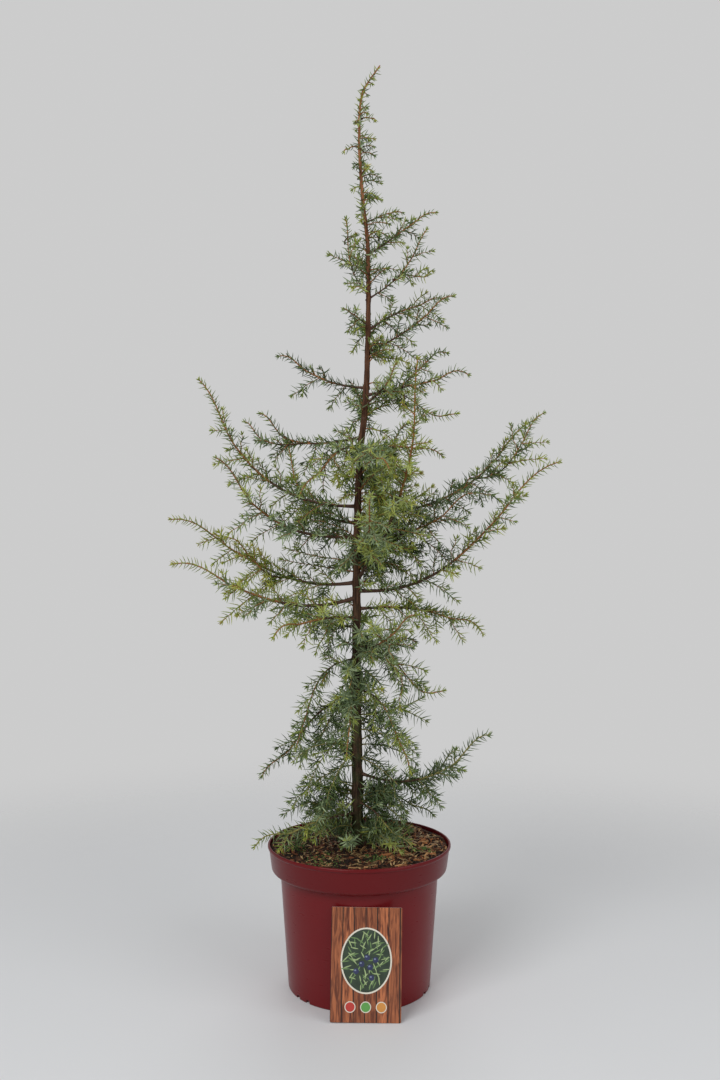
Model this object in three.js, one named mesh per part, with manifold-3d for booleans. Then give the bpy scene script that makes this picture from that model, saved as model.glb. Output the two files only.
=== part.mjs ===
// A young potted common juniper, in millimetres, with +Z up.
// The origin is the middle of the pot's flat underside. +X is the right, and -Y the front.
import * as THREE from 'three';
import { mergeVertices } from 'three/addons/utils/BufferGeometryUtils.js';
import Module from 'manifold-3d';

const wasm = await Module();
wasm.setup();

const DEGREE = Math.PI / 180;
const GAP = 0.3;

// Pot: a tapered wall under a wider collar, with a thin bead round its mouth
const POT_HEIGHT = 195.5;
const POT_BASE_RADIUS = 98.5;
const POT_NECK_RADIUS = 109.6;
const POT_NECK_HEIGHT = 158;
const COLLAR_FOOT_RADIUS = 122;
const COLLAR_FOOT_HEIGHT = 164;
const POT_RIM_RADIUS = 126.8;
const POT_WALL = 2;
const POT_FLOOR = 3;
const POT_SEGMENTS = 24;

// Potting soil, a little higher at the middle
const SOIL_HEIGHT = 191;
const SOIL_EDGE_RISE = 1.5;
const SOIL_LUMP = 1.6;
const SOIL_FLAT_RADIUS = 19;
const SOIL_RADIUS = POT_RIM_RADIUS - 6;
const SOIL_RINGS = [0.98, 0.72, 0.45];

// Plant card, leaning on the pot's wall
const CARD = { width: 91, height: 142, thickness: 0.9, x: 9, foot: -127.5, roll: 0.9 };

// Trunk: sideways offset, offset to the back, and radius, each by height
const TRUNK_FOOT = SOIL_HEIGHT + GAP;
const TRUNK_TOP = 1232;
const TRUNK_SIDES = 10;
const TRUNK_STEP = 38;
const TRUNK_X = [
  [191, -2], [460, -4], [700, -1], [832, 10], [1020, 12], [1101, 4], [1181, 0], [1238, 5], [1276, 29],
];
const TRUNK_Y = [[191, 0], [480, 6], [760, -4], [1000, 3], [1276, -6]];
const TRUNK_RADIUS = [
  [191, 12.5], [201, 9.6], [224, 8.2], [300, 7.4], [546, 5.4],
  [840, 3.9], [1030, 2.8], [1190, 1.8], [1276, 1.1],
];
const FLARE_LOBES = 5;
const FLARE_HEIGHT = 16;
const FLARE_DEPTH = 0.13;
const FLARE_STEPS = [0, 5, 12, 24, 45];
const LEADER_STEPS = [1, 14, 27, 40];

// Limbs and shoots
const LIMB_SIDES = 6;
const LIMB_STEP = 22;
const LIMB_FOOT_SHARE = 0.5;
const STEM_RADIUS = 2.1;
const STEM_TIP_RADIUS = 1.2;
const TWIG_RADIUS = 1.5;
const TWIG_TIP_RADIUS = 1.1;
const CURVE_FULLNESS = 0.42;
const SWEEP = 14;
const STRETCH = 8;

// Needles: whorls of three, each turned a sixth of a turn from the last
const WHORL_PITCH = 27;
const WHORL_DEPTH = 7.5;
const NEEDLE_LENGTH = 25;
const NEEDLE_OPENING = 52;
const NEEDLE_RADIUS = 1.5;
const FIRST_WHORL = 10;
const LAST_WHORL = 13;

// Twigs
const TWIG_OPENING = 46;
const TWIG_SHORTEST = 20;
const TWIG_FALL = 0.4;
const TWIG_REACH = 0.85;
const TWIG_DRIFT = 0.18;
const TWIG_ROLL = 144;
const TWIG_ROLL_SPREAD = 1.2;
const SEAT_SHARE = 0.8;
const CLEARANCE = 0.45;
const POT_CLEARANCE = { inside: 8, outside: 4, above: 1.5 };

const BARK = { color: 0x6a4636, roughness: 0.85, metalness: 0 };
const GREENS = { deep: 0x3f5b3c, blue: 0x5d7f63, fresh: 0x6c8f45, gold: 0x9aa143 };

// Each bough leaves the trunk at a height, toward a heading (0 right, 90 back, 180 left, 270 front).
// Its tip lies at a reach from the trunk's axis and at a rise above its foot. It leaves and arrives
// at angles above level. A bare length is a limb of its own, and foliage begins at its end.
// A fork goes from a share of the foliage's stem, turned sideways, by a reach and a rise of its own.
const BOUGHS = [
  { at: 1202, heading: 355, reach: 22, rise: -3, leave: 30, arrive: -35, twigs: 1, twig: 16, tint: 'gold' },
  { at: 1164, heading: 170, reach: 22, rise: -6, leave: 25, arrive: -40, twigs: 1, twig: 16, tint: 'fresh' },
  { at: 1126, heading: 290, reach: 26, rise: 2, leave: 30, arrive: -20, twigs: 1, twig: 16, tint: 'gold' },
  { at: 1094, heading: 70, reach: 30, rise: 6, leave: 30, arrive: -10, twigs: 1, twig: 17, tint: 'fresh' },
  { at: 1061, heading: 8, reach: 53, rise: 14, leave: 25, arrive: -5, twigs: 1, twig: 20, tint: 'fresh' },
  { at: 1018, heading: 15, reach: 101, rise: 64, leave: 32, arrive: 22, twigs: 3, twig: 24, tint: 'fresh' },
  { at: 992, heading: 110, reach: 78, rise: 42, leave: 30, arrive: 30, twigs: 2, twig: 24, tint: 'fresh' },
  { at: 965, heading: 195, reach: 33, rise: 98, leave: 38, arrive: 80, twigs: 2, twig: 22, tint: 'fresh',
    fork: [0.8, -150, 18, 8] },
  { at: 955, heading: 343, reach: 84, rise: 88, leave: 26, arrive: 64, twigs: 2, twig: 26, tint: 'fresh',
    fork: [0.4, 30, 50, 10] },
  { at: 917, heading: 232, reach: 54, rise: 12, leave: 25, arrive: 10, twigs: 1, twig: 24, tint: 'blue' },
  { at: 912, heading: 22, reach: 123, rise: 50, leave: 34, arrive: 12, twigs: 3, twig: 28, tint: 'fresh' },
  { at: 900, heading: 102, reach: 108, rise: 42, leave: 28, arrive: 20, twigs: 3, twig: 28, tint: 'fresh' },
  { at: 880, heading: 344, reach: 122, rise: 69, leave: 22, arrive: 28, twigs: 3, twig: 28, tint: 'blue' },
  { at: 828, heading: 172, reach: 126, rise: 47, leave: 4, arrive: 26, twigs: 4, twig: 30, tint: 'deep' },
  { at: 818, heading: 350, reach: 143, rise: 24, leave: 8, arrive: 8, twigs: 4, twig: 30, tint: 'blue',
    fork: [0.05, 44, 112, 64] },
  { at: 806, heading: 298, reach: 88, rise: 44, leave: 30, arrive: 35, twigs: 2, twig: 28, tint: 'fresh',
    fork: [0.05, 62, 110, -27] },
  { at: 786, heading: 96, reach: 156, rise: 60, leave: 15, arrive: 30, twigs: 4, twig: 32, tint: 'blue' },
  { at: 758, heading: 172, reach: 146, rise: 36, leave: -10, arrive: 58, twigs: 4, twig: 32, tint: 'blue',
    fork: [0.45, 22, 84, 28] },
  { at: 740, heading: 232, reach: 128, rise: -66, leave: 14, arrive: -38, twigs: 3, twig: 32, tint: 'gold' },
  { at: 724, heading: 284, reach: 158, rise: -22, leave: 22, arrive: -20, twigs: 4, twig: 32, tint: 'fresh',
    fork: [0.05, 70, 112, -2] },
  { at: 700, heading: 66, reach: 186, rise: 96, leave: 8, arrive: 44, twigs: 5, twig: 34, tint: 'blue' },
  { at: 663, heading: 178, reach: 223, rise: 178, leave: 0, arrive: 66, twigs: 6, twig: 36, tint: 'fresh',
    bare: 72 },
  { at: 652, heading: 16, reach: 270, rise: 140, leave: 0, arrive: 44, twigs: 7, twig: 36, tint: 'blue',
    bare: 76, fork: [0.42, -24, 96, 92] },
  { at: 640, heading: 122, reach: 214, rise: 132, leave: 4, arrive: 56, twigs: 6, twig: 36, tint: 'fresh',
    bare: 66 },
  { at: 620, heading: 206, reach: 206, rise: 104, leave: -2, arrive: 52, twigs: 6, twig: 34, tint: 'blue',
    bare: 64 },
  { at: 612, heading: 334, reach: 176, rise: 66, leave: 8, arrive: 34, twigs: 5, twig: 34, tint: 'deep' },
  { at: 600, heading: 276, reach: 166, rise: 70, leave: 18, arrive: 34, twigs: 4, twig: 32, tint: 'fresh' },
  { at: 578, heading: 82, reach: 238, rise: 118, leave: 2, arrive: 40, twigs: 6, twig: 36, tint: 'blue',
    bare: 66 },
  { at: 567, heading: 300, reach: 156, rise: 280, leave: 46, arrive: 84, twigs: 5, twig: 32, tint: 'gold',
    bare: 70 },
  { at: 556, heading: 168, reach: 277, rise: 90, leave: -8, arrive: 20, twigs: 7, twig: 34, tint: 'gold',
    bare: 76, fork: [0.1, 30, 88, 56] },
  { at: 545, heading: 352, reach: 280, rise: 178, leave: -2, arrive: 36, twigs: 8, twig: 36, tint: 'fresh',
    bare: 74 },
  { at: 534, heading: 198, reach: 256, rise: 50, leave: -14, arrive: 18, twigs: 7, twig: 34, tint: 'gold',
    bare: 72 },
  { at: 520, heading: 22, reach: 200, rise: -42, leave: 4, arrive: -24, twigs: 5, twig: 30, tint: 'gold' },
  { at: 508, heading: 222, reach: 146, rise: -20, leave: 4, arrive: -24, twigs: 4, twig: 30, tint: 'gold' },
  { at: 494, heading: 128, reach: 206, rise: 30, leave: 0, arrive: 20, twigs: 5, twig: 34, tint: 'blue' },
  { at: 468, heading: 306, reach: 132, rise: 50, leave: 0, arrive: 36, twigs: 4, twig: 32, tint: 'gold',
    fork: [0.05, 44, 106, -58] },
  { at: 462, heading: 58, reach: 172, rise: -4, leave: 4, arrive: 4, twigs: 4, twig: 34, tint: 'deep' },
  { at: 449, heading: 194, reach: 86, rise: -122, leave: -8, arrive: -66, twigs: 3, twig: 32, tint: 'blue' },
  { at: 414, heading: 262, reach: 92, rise: -84, leave: 4, arrive: -62, twigs: 3, twig: 32, tint: 'fresh',
    fork: [0.05, 58, 98, -100] },
  { at: 402, heading: 164, reach: 142, rise: -126, leave: -22, arrive: -34, twigs: 4, twig: 34,
    tint: 'blue' },
  { at: 290, heading: 350, reach: 184, rise: 60, leave: -14, arrive: 44, twigs: 5, twig: 34, tint: 'deep',
    fork: [0.15, 46, 112, 30] },
  { at: 386, heading: 88, reach: 164, rise: -58, leave: -4, arrive: -26, twigs: 4, twig: 34, tint: 'blue',
    fork: [0.1, 50, 104, -92] },
  { at: 262, heading: 180, reach: 72, rise: -34, leave: 4, arrive: -20, twigs: 3, twig: 30, tint: 'deep',
    fork: [0.05, 72, 84, -22] },
  { at: 270, heading: 8, reach: 108, rise: -42, leave: 4, arrive: -20, twigs: 3, twig: 30, tint: 'deep',
    fork: [0.05, 74, 92, -34] },
  { at: 236, heading: 212, reach: 160, rise: -24, leave: 6, arrive: -14, twigs: 4, twig: 28, tint: 'gold' },
  { at: 250, heading: 316, reach: 104, rise: -44, leave: 4, arrive: -20, twigs: 3, twig: 28, tint: 'deep' },
];

// Repeatable random numbers from 0 to 1
function seeded(seed) {
  let state = seed * 0x9e3779b1;
  return () => {
    state = (state + 0x6d2b79f5) | 0;
    let mixed = Math.imul(state ^ (state >>> 15), 1 | state);
    mixed = (mixed + Math.imul(mixed ^ (mixed >>> 7), 61 | mixed)) ^ mixed;
    return ((mixed ^ (mixed >>> 14)) >>> 0) / 4294967296;
  };
}

// A smooth value at a height, through a few stations of [height, value]
function smoothAt(stations, height) {
  const last = stations.length - 1;
  if (height <= stations[0][0]) return stations[0][1];
  if (height >= stations[last][0]) return stations[last][1];
  const i = stations.findIndex(([z]) => z > height) - 1;
  const slope = (k) => {
    const before = stations[Math.max(k - 1, 0)];
    const after = stations[Math.min(k + 1, last)];
    return (after[1] - before[1]) / (after[0] - before[0]);
  };
  const span = stations[i + 1][0] - stations[i][0];
  const t = (height - stations[i][0]) / span;
  const rise = t * t * (3 - 2 * t);
  const bow = t * (1 - t) * ((1 - t) * slope(i) - t * slope(i + 1)) * span;
  return stations[i][1] * (1 - rise) + stations[i + 1][1] * rise + bow;
}

function trunkCentre(height) {
  return new THREE.Vector3(smoothAt(TRUNK_X, height), smoothAt(TRUNK_Y, height), height);
}

function trunkRadius(height) {
  return smoothAt(TRUNK_RADIUS, height);
}

// Heights of the trunk's rings: close together up its flare, then evenly spaced to its top
function trunkRings() {
  const heights = FLARE_STEPS.map((rise) => TRUNK_FOOT + rise);
  const above = TRUNK_TOP - heights[heights.length - 1];
  const steps = Math.round(above / TRUNK_STEP);
  for (let i = steps - 1; i >= 0; i -= 1) heights.push(TRUNK_TOP - above * i / steps);
  return heights;
}

// The middle and radius of the trunk at a height, along the straight line from one ring to the next
function trunkSection(height) {
  const rings = trunkRings();
  const above = rings.findIndex((ring) => ring > height);
  const [low, high] = [rings[above - 1], rings[above]];
  const share = (height - low) / (high - low);
  return {
    centre: trunkCentre(low).lerp(trunkCentre(high), share),
    radius: THREE.MathUtils.lerp(trunkRadius(low), trunkRadius(high), share),
  };
}

// A unit vector toward a heading, tilted above level
function direction(heading, tilt = 0) {
  const level = Math.cos(tilt * DEGREE);
  return new THREE.Vector3(
    level * Math.cos(heading * DEGREE),
    level * Math.sin(heading * DEGREE),
    Math.sin(tilt * DEGREE),
  );
}

// A welded geometry from points and triangles, turned inside out where its volume is negative
function closedGeometry(geometry) {
  geometry.deleteAttribute('normal');
  geometry.deleteAttribute('uv');
  const welded = mergeVertices(geometry, 1e-4);
  const place = welded.getAttribute('position');
  const index = welded.getIndex();
  const corner = [new THREE.Vector3(), new THREE.Vector3(), new THREE.Vector3()];
  const kept = [];
  let volume = 0;
  for (let i = 0; i < index.count; i += 3) {
    const three = [index.getX(i), index.getX(i + 1), index.getX(i + 2)];
    if (three[0] === three[1] || three[1] === three[2] || three[2] === three[0]) continue;
    three.forEach((vertex, k) => corner[k].fromBufferAttribute(place, vertex));
    volume += corner[0].dot(corner[1].clone().cross(corner[2]));
    kept.push(three);
  }
  welded.setIndex(kept.flatMap((three) => (volume < 0 ? [three[0], three[2], three[1]] : three)));
  return welded;
}

function toManifold(geometry) {
  return new wasm.Manifold(new wasm.Mesh({
    numProp: 3,
    vertProperties: new Float32Array(geometry.getAttribute('position').array),
    triVerts: new Uint32Array(geometry.getIndex().array),
  }));
}

function fromManifold(solid) {
  const mesh = solid.getMesh();
  const geometry = new THREE.BufferGeometry();
  geometry.setAttribute('position', new THREE.BufferAttribute(new Float32Array(mesh.vertProperties), 3));
  geometry.setIndex(Array.from(mesh.triVerts));
  return geometry;
}

const tree = new THREE.Group();

function addPart(name, geometry, look) {
  geometry.computeVertexNormals();
  const mesh = new THREE.Mesh(geometry, new THREE.MeshStandardMaterial(look));
  mesh.name = name;
  tree.add(mesh);
}

// What stands where: straight stretches of stem, limb and needle, each with its owner
const taken = [];

function claim(owner, from, to, radius) {
  taken.push({ owner, from: from.clone(), to: to.clone(), radius });
}

// The least distance between two straight stretches
function stretchDistance(a, b, c, d) {
  const u = b.clone().sub(a);
  const v = d.clone().sub(c);
  const w = a.clone().sub(c);
  const uu = u.dot(u);
  const uv = u.dot(v);
  const vv = v.dot(v);
  const base = Math.max(uu * vv - uv * uv, 1e-9);
  let s = THREE.MathUtils.clamp((uv * v.dot(w) - vv * u.dot(w)) / base, 0, 1);
  const t = THREE.MathUtils.clamp((uv * s + v.dot(w)) / vv, 0, 1);
  s = THREE.MathUtils.clamp((uv * t - u.dot(w)) / uu, 0, 1);
  return w.addScaledVector(u, s).addScaledVector(v, -t).length();
}

// Keeps foliage out of the pot's wall and the soil
function clearOfPot(point) {
  const out = Math.hypot(point.x, point.y);
  const { inside, outside, above } = POT_CLEARANCE;
  if (out < POT_RIM_RADIUS - inside) return point.z > SOIL_HEIGHT + SOIL_EDGE_RISE + SOIL_LUMP + above;
  return out > POT_RIM_RADIUS + outside || point.z > POT_HEIGHT + above;
}

function isClear(owner, from, to, radius) {
  if (!clearOfPot(from) || !clearOfPot(to)) return false;
  const reach = from.distanceTo(to) + radius + CLEARANCE;
  return taken.every((other) => {
    if (other.owner === owner) return true;
    if (from.distanceTo(other.from) > reach + other.from.distanceTo(other.to) + other.radius) return true;
    return stretchDistance(from, to, other.from, other.to) > radius + other.radius + CLEARANCE;
  });
}

// Frames along a curve that turn with it and do not twist
function framesAlong(curve, shares) {
  let normal = null;
  return shares.map((share) => {
    const tangent = curve.getTangentAt(share);
    const side = normal ?? new THREE.Vector3(-tangent.y, tangent.x, 0.2);
    normal = side.clone().addScaledVector(tangent, -side.dot(tangent)).normalize();
    return { centre: curve.getPointAt(share), tangent, normal, across: tangent.clone().cross(normal) };
  });
}

function ringPoint(frame, angle, radius) {
  return frame.centre.clone()
    .addScaledVector(frame.normal, radius * Math.cos(angle))
    .addScaledVector(frame.across, radius * Math.sin(angle));
}

// A limb: a cylinder bent along its curve and tapered from foot to tip
function limbGeometry(curve, share, footRadius, tipRadius) {
  const steps = Math.max(2, Math.round(curve.getLength() * share / LIMB_STEP));
  const geometry = new THREE.CylinderGeometry(1, 1, 1, LIMB_SIDES, steps);
  const frames = framesAlong(curve, Array.from({ length: steps + 1 }, (_, i) => share * i / steps));
  const place = geometry.getAttribute('position');
  for (let i = 0; i < place.count; i += 1) {
    const step = Math.round((place.getY(i) + 0.5) * steps);
    const radius = THREE.MathUtils.lerp(footRadius, tipRadius, step / steps);
    const out = Math.hypot(place.getX(i), place.getZ(i));
    const point = ringPoint(frames[step], Math.atan2(place.getZ(i), place.getX(i)), radius * out);
    place.setXYZ(i, point.x, point.y, point.z);
  }
  return closedGeometry(geometry);
}

// A shoot: a three-sided stem whose whorls each carry up to three needles.
// Each needle is a slim pyramid raised on one side of a short stretch of the stem.
function shootGeometry(owner, curve, from, footRadius, tipRadius) {
  const length = curve.getLength();
  const usable = length * (1 - from) - FIRST_WHORL - LAST_WHORL;
  const count = Math.max(1, Math.round(usable / WHORL_PITCH) + 1);
  const pitch = count > 1 ? usable / (count - 1) : 0;
  const shares = [from];
  for (let k = 0; k < count; k += 1) {
    const middle = from * length + FIRST_WHORL + k * pitch;
    shares.push((middle - WHORL_DEPTH / 2) / length, (middle + WHORL_DEPTH / 2) / length);
  }
  const frames = framesAlong(curve, shares);
  const points = [];
  const faces = [];
  const rings = frames.map((frame, k) => {
    const turn = Math.ceil(k / 2) * Math.PI / 3;
    const radius = THREE.MathUtils.lerp(footRadius, tipRadius, k / frames.length);
    const corners = [0, 1, 2].map((side) => ringPoint(frame, turn + side * 2 * Math.PI / 3, radius));
    return corners.map((corner) => points.push(corner) - 1);
  });
  faces.push([rings[0][0], rings[0][2], rings[0][1]]);
  for (let k = 0; k + 1 < rings.length; k += 1) {
    const low = rings[k];
    const high = rings[k + 1];
    for (let side = 0; side < 3; side += 1) {
      const next = (side + 1) % 3;
      if (k % 2 === 0) {
        faces.push([low[side], low[next], high[side]], [low[next], high[next], high[side]]);
        continue;
      }
      const turn = Math.ceil(k / 2) * Math.PI / 3 + (2 * side + 1) * Math.PI / 3;
      const seat = points[low[side]].clone().add(points[high[next]]).multiplyScalar(0.5);
      const outward = ringPoint(frames[k], turn, 1).sub(frames[k].centre);
      const tip = seat.clone()
        .addScaledVector(outward, NEEDLE_LENGTH * Math.sin(NEEDLE_OPENING * DEGREE))
        .addScaledVector(frames[k].tangent, NEEDLE_LENGTH * Math.cos(NEEDLE_OPENING * DEGREE));
      if (isClear(owner, seat, tip, NEEDLE_RADIUS)) {
        const point = points.push(tip) - 1;
        claim(owner, seat, tip, NEEDLE_RADIUS);
        faces.push([low[side], low[next], point], [low[next], high[next], point]);
        faces.push([high[next], high[side], point], [high[side], low[side], point]);
      } else {
        faces.push([low[side], low[next], high[next]], [low[side], high[next], high[side]]);
      }
    }
  }
  const end = points.push(curve.getPointAt(1)) - 1;
  const top = rings[rings.length - 1];
  for (let side = 0; side < 3; side += 1) faces.push([top[side], top[(side + 1) % 3], end]);
  const geometry = new THREE.BufferGeometry().setFromPoints(points);
  geometry.setIndex(faces.flat());
  return { geometry, seats: seatsBetween(frames, footRadius, tipRadius) };
}

// Places for side twigs: half way from each whorl to the next
function seatsBetween(frames, footRadius, tipRadius) {
  const seats = [];
  for (let k = frames.length > 3 ? 2 : 0; k + 1 < frames.length; k += 2) {
    const centre = frames[k].centre.clone().add(frames[k + 1].centre).multiplyScalar(0.5);
    const radius = THREE.MathUtils.lerp(footRadius, tipRadius, k / frames.length) * SEAT_SHARE;
    seats.push({ ...frames[k], centre, radius });
  }
  return seats;
}

// The stretches of a curve, for the test of what stands where
function stretches(curve, from, to) {
  const count = Math.max(1, Math.round(curve.getLength() * (to - from) / STRETCH));
  return Array.from({ length: count }, (_, i) => [i, i + 1].map((step) => (
    curve.getPointAt(THREE.MathUtils.lerp(from, to, step / count))
  )));
}

// A curve that starts and ends at given headings and tilts
function boughCurve(from, to, headings, tilts) {
  const handle = CURVE_FULLNESS * from.distanceTo(to);
  return new THREE.CubicBezierCurve3(
    from,
    from.clone().addScaledVector(direction(headings[0], tilts[0]), handle),
    to.clone().addScaledVector(direction(headings[1], tilts[1]), -handle),
    to,
  );
}

// A side twig: out from its seat, then bending toward the way its stem grows
function twigCurve(seat, roll, length) {
  const side = ringPoint(seat, roll, 1).sub(seat.centre);
  const out = side.clone().multiplyScalar(Math.sin(TWIG_OPENING * DEGREE))
    .addScaledVector(seat.tangent, Math.cos(TWIG_OPENING * DEGREE));
  const middle = seat.centre.clone().addScaledVector(out, length * 0.5);
  const tip = seat.centre.clone().addScaledVector(out, length * TWIG_REACH)
    .addScaledVector(seat.tangent, length * TWIG_DRIFT);
  return new THREE.QuadraticBezierCurve3(seat.centre, middle, tip);
}

// The whole of one mass: its stem, its fork, and side twigs that stay clear of all else
function foliageGeometry(owner, bough, curve, from, random) {
  const stem = shootGeometry(owner, curve, from, STEM_RADIUS, STEM_TIP_RADIUS);
  let solid = toManifold(stem.geometry);
  const shoots = [];
  if (bough.fork) {
    const [share, turn, reach, rise] = bough.fork;
    const seat = stem.seats[Math.floor(share * stem.seats.length)];
    const ahead = bough.heading + turn;
    const tip = seat.centre.clone().addScaledVector(direction(ahead), reach);
    tip.z += rise;
    const curve = boughCurve(seat.centre, tip, [ahead, ahead], [bough.leave, bough.arrive]);
    shoots.push({ curve, radius: seat.radius });
  }
  const middle = (stem.seats.length - 1) / 2;
  for (let i = 0; i < bough.twigs; i += 1) {
    const place = Math.min(stem.seats.length - 1, Math.floor((i + 0.2) / bough.twigs * stem.seats.length));
    const fall = 1 - TWIG_FALL * Math.abs(place - middle) / Math.max(middle, 1);
    const roll = i * TWIG_ROLL * DEGREE + (random() - 0.5) * TWIG_ROLL_SPREAD;
    const length = bough.twig * fall * (0.85 + 0.5 * random());
    const seat = stem.seats[place];
    shoots.push({ curve: twigCurve(seat, roll, Math.max(length, TWIG_SHORTEST)), radius: seat.radius });
  }
  for (const { curve: path, radius } of shoots) {
    const clear = stretches(path, 0, 1).every(([a, b]) => isClear(owner, a, b, TWIG_RADIUS));
    if (!clear) continue;
    stretches(path, 0, 1).forEach(([a, b]) => claim(owner, a, b, TWIG_RADIUS));
    const twig = shootGeometry(owner, path, 0, Math.min(radius, TWIG_RADIUS), TWIG_TIP_RADIUS);
    solid = solid.add(toManifold(twig.geometry));
  }
  return fromManifold(solid);
}

// The pot's outside, from the edge of its foot up to the rim
const OUTER_WALL = [
  [POT_BASE_RADIUS - 2, 0], [POT_BASE_RADIUS, 2], [POT_NECK_RADIUS, POT_NECK_HEIGHT],
  [COLLAR_FOOT_RADIUS - 2, POT_NECK_HEIGHT + 1.6], [COLLAR_FOOT_RADIUS, COLLAR_FOOT_HEIGHT],
  [POT_RIM_RADIUS, POT_HEIGHT - 2], [POT_RIM_RADIUS - 0.6, POT_HEIGHT],
];

// The pot's inside, from the rim down to the floor
const INNER_WALL = [
  [POT_RIM_RADIUS - 2.4, POT_HEIGHT], [COLLAR_FOOT_RADIUS - POT_WALL, COLLAR_FOOT_HEIGHT],
  [POT_NECK_RADIUS - POT_WALL, POT_NECK_HEIGHT - POT_WALL], [POT_BASE_RADIUS - POT_WALL, POT_FLOOR],
];

function lathe(profile, segments) {
  const points = [[0, profile[0][1]], ...profile, [0, profile[profile.length - 1][1]]];
  const geometry = new THREE.LatheGeometry(points.map(([r, z]) => new THREE.Vector2(r, z)), segments);
  return geometry.rotateX(Math.PI / 2);
}

function makePot() {
  const pot = closedGeometry(lathe([...OUTER_WALL, ...INNER_WALL], POT_SEGMENTS));
  addPart('pot', pot, { color: 0x6a2226, roughness: 0.38, metalness: 0 });
}

// Soil: the pot's filling, with small seeded lumps on top and a flat place under the trunk
function makeSoil() {
  const filling = INNER_WALL.slice(1).reverse().map(([r, z], i) => [r - 2 * GAP, i === 0 ? z + GAP : z]);
  for (const share of [...SOIL_RINGS, SOIL_FLAT_RADIUS / SOIL_RADIUS]) {
    filling.push([SOIL_RADIUS * share, SOIL_HEIGHT + SOIL_EDGE_RISE * share * share]);
  }
  const soil = closedGeometry(lathe(filling, POT_SEGMENTS));
  const place = soil.getAttribute('position');
  const random = seeded(7);
  for (let i = 0; i < place.count; i += 1) {
    const out = Math.hypot(place.getX(i), place.getY(i));
    const lump = SOIL_LUMP * (random() * 2 - 1);
    if (place.getZ(i) < COLLAR_FOOT_HEIGHT + 5) continue;
    place.setZ(i, out < SOIL_FLAT_RADIUS + 2 ? SOIL_HEIGHT : place.getZ(i) + lump);
  }
  addPart('soil', soil, { color: 0x3b2a21, roughness: 0.95, metalness: 0 });
}

// Trunk: one tapering stem with a lobed flare at its foot
function makeTrunk() {
  const heights = trunkRings();
  const geometry = new THREE.CylinderGeometry(1, 1, 1, TRUNK_SIDES, heights.length - 1);
  const place = geometry.getAttribute('position');
  for (let i = 0; i < place.count; i += 1) {
    const height = heights[Math.round((place.getY(i) + 0.5) * (heights.length - 1))];
    const centre = trunkCentre(height);
    const angle = Math.atan2(place.getX(i), place.getZ(i));
    const fade = Math.max(0, 1 - (height - TRUNK_FOOT) / FLARE_HEIGHT);
    const lobe = 1 + FLARE_DEPTH * fade * Math.cos(FLARE_LOBES * angle);
    const radius = Math.hypot(place.getX(i), place.getZ(i)) * trunkRadius(height) * lobe;
    place.setXYZ(i, centre.x + radius * Math.sin(angle), centre.y - radius * Math.cos(angle), height);
  }
  addPart('trunk', closedGeometry(geometry), BARK);
  for (let i = 0; i + 1 < heights.length; i += 1) {
    claim('trunk', trunkCentre(heights[i]), trunkCentre(heights[i + 1]), trunkRadius(heights[i]));
  }
}

// Card: a thin stiff sheet whose top edge leans on the wall
function makeCard() {
  const slope = (POT_NECK_RADIUS - POT_BASE_RADIUS) / POT_NECK_HEIGHT;
  const wallAt = (z) => POT_BASE_RADIUS + slope * z;
  let lean = 0;
  for (let i = 0; i < 20; i += 1) {
    const top = CARD.height * Math.cos(lean);
    lean = Math.asin((-CARD.foot - wallAt(top) - CARD.thickness - 2 * GAP) / CARD.height);
  }
  const card = new THREE.BoxGeometry(CARD.width, CARD.thickness, CARD.height);
  const lift = (CARD.height + CARD.width * Math.sin(CARD.roll * DEGREE)) / 2;
  card.rotateY(CARD.roll * DEGREE).translate(0, 0, lift).rotateX(-lean);
  card.translate(CARD.x, CARD.foot, GAP);
  addPart('card', closedGeometry(card), { color: 0xb58a5d, roughness: 0.6, metalness: 0 });
}

// Where a bough leaves the trunk, and its curve
function layBough(bough, index) {
  const { centre: axis, radius } = trunkSection(bough.at);
  const sweep = SWEEP * Math.sin(index * 2.4);
  const footHeading = bough.heading - sweep;
  const thickness = bough.bare ? radius * LIMB_FOOT_SHARE : STEM_RADIUS;
  const clear = radius + GAP + thickness * Math.abs(Math.sin(bough.leave * DEGREE));
  const from = axis.clone().addScaledVector(direction(footHeading), clear);
  const to = axis.clone().addScaledVector(direction(bough.heading), bough.reach);
  to.z += bough.rise;
  const curve = boughCurve(from, to, [footHeading, bough.heading + sweep], [bough.leave, bough.arrive]);
  const bare = bough.bare ? bough.bare / curve.getLength() : 0;
  return { curve, thickness, bare };
}

makePot();
makeSoil();
makeTrunk();
makeCard();

// The leader's tip carries on the trunk's own line
const leader = {
  bough: { twigs: 0 },
  curve: new THREE.CatmullRomCurve3(LEADER_STEPS.map((rise) => trunkCentre(TRUNK_TOP + rise))),
};
const laid = BOUGHS.map((bough, index) => {
  const number = String(index + 1).padStart(2, '0');
  return { number, bough, index, ...layBough(bough, index) };
});
laid.filter(({ bare }) => bare > 0).forEach(({ number, curve, thickness, bare }) => {
  addPart(`bough_${number}`, limbGeometry(curve, bare, thickness, STEM_RADIUS), BARK);
  stretches(curve, 0, bare).forEach(([a, b]) => claim(`bough_${number}`, a, b, thickness));
});
laid.forEach(({ number, curve, bare }) => {
  stretches(curve, bare, 1).forEach(([a, b]) => claim(`foliage_${number}`, a, b, STEM_RADIUS));
});
laid.forEach(({ number, bough, index, curve, bare }) => {
  const name = `foliage_${number}`;
  const from = bare > 0 ? bare + GAP / curve.getLength() : 0;
  const look = { color: GREENS[bough.tint], roughness: 0.6, metalness: 0 };
  addPart(name, foliageGeometry(name, bough, curve, from, seeded(index + 11)), look);
});
addPart('foliage_tip', foliageGeometry('foliage_tip', leader.bough, leader.curve, 0, seeded(5)), {
  color: GREENS.gold, roughness: 0.6, metalness: 0,
});

export default tree;
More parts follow.
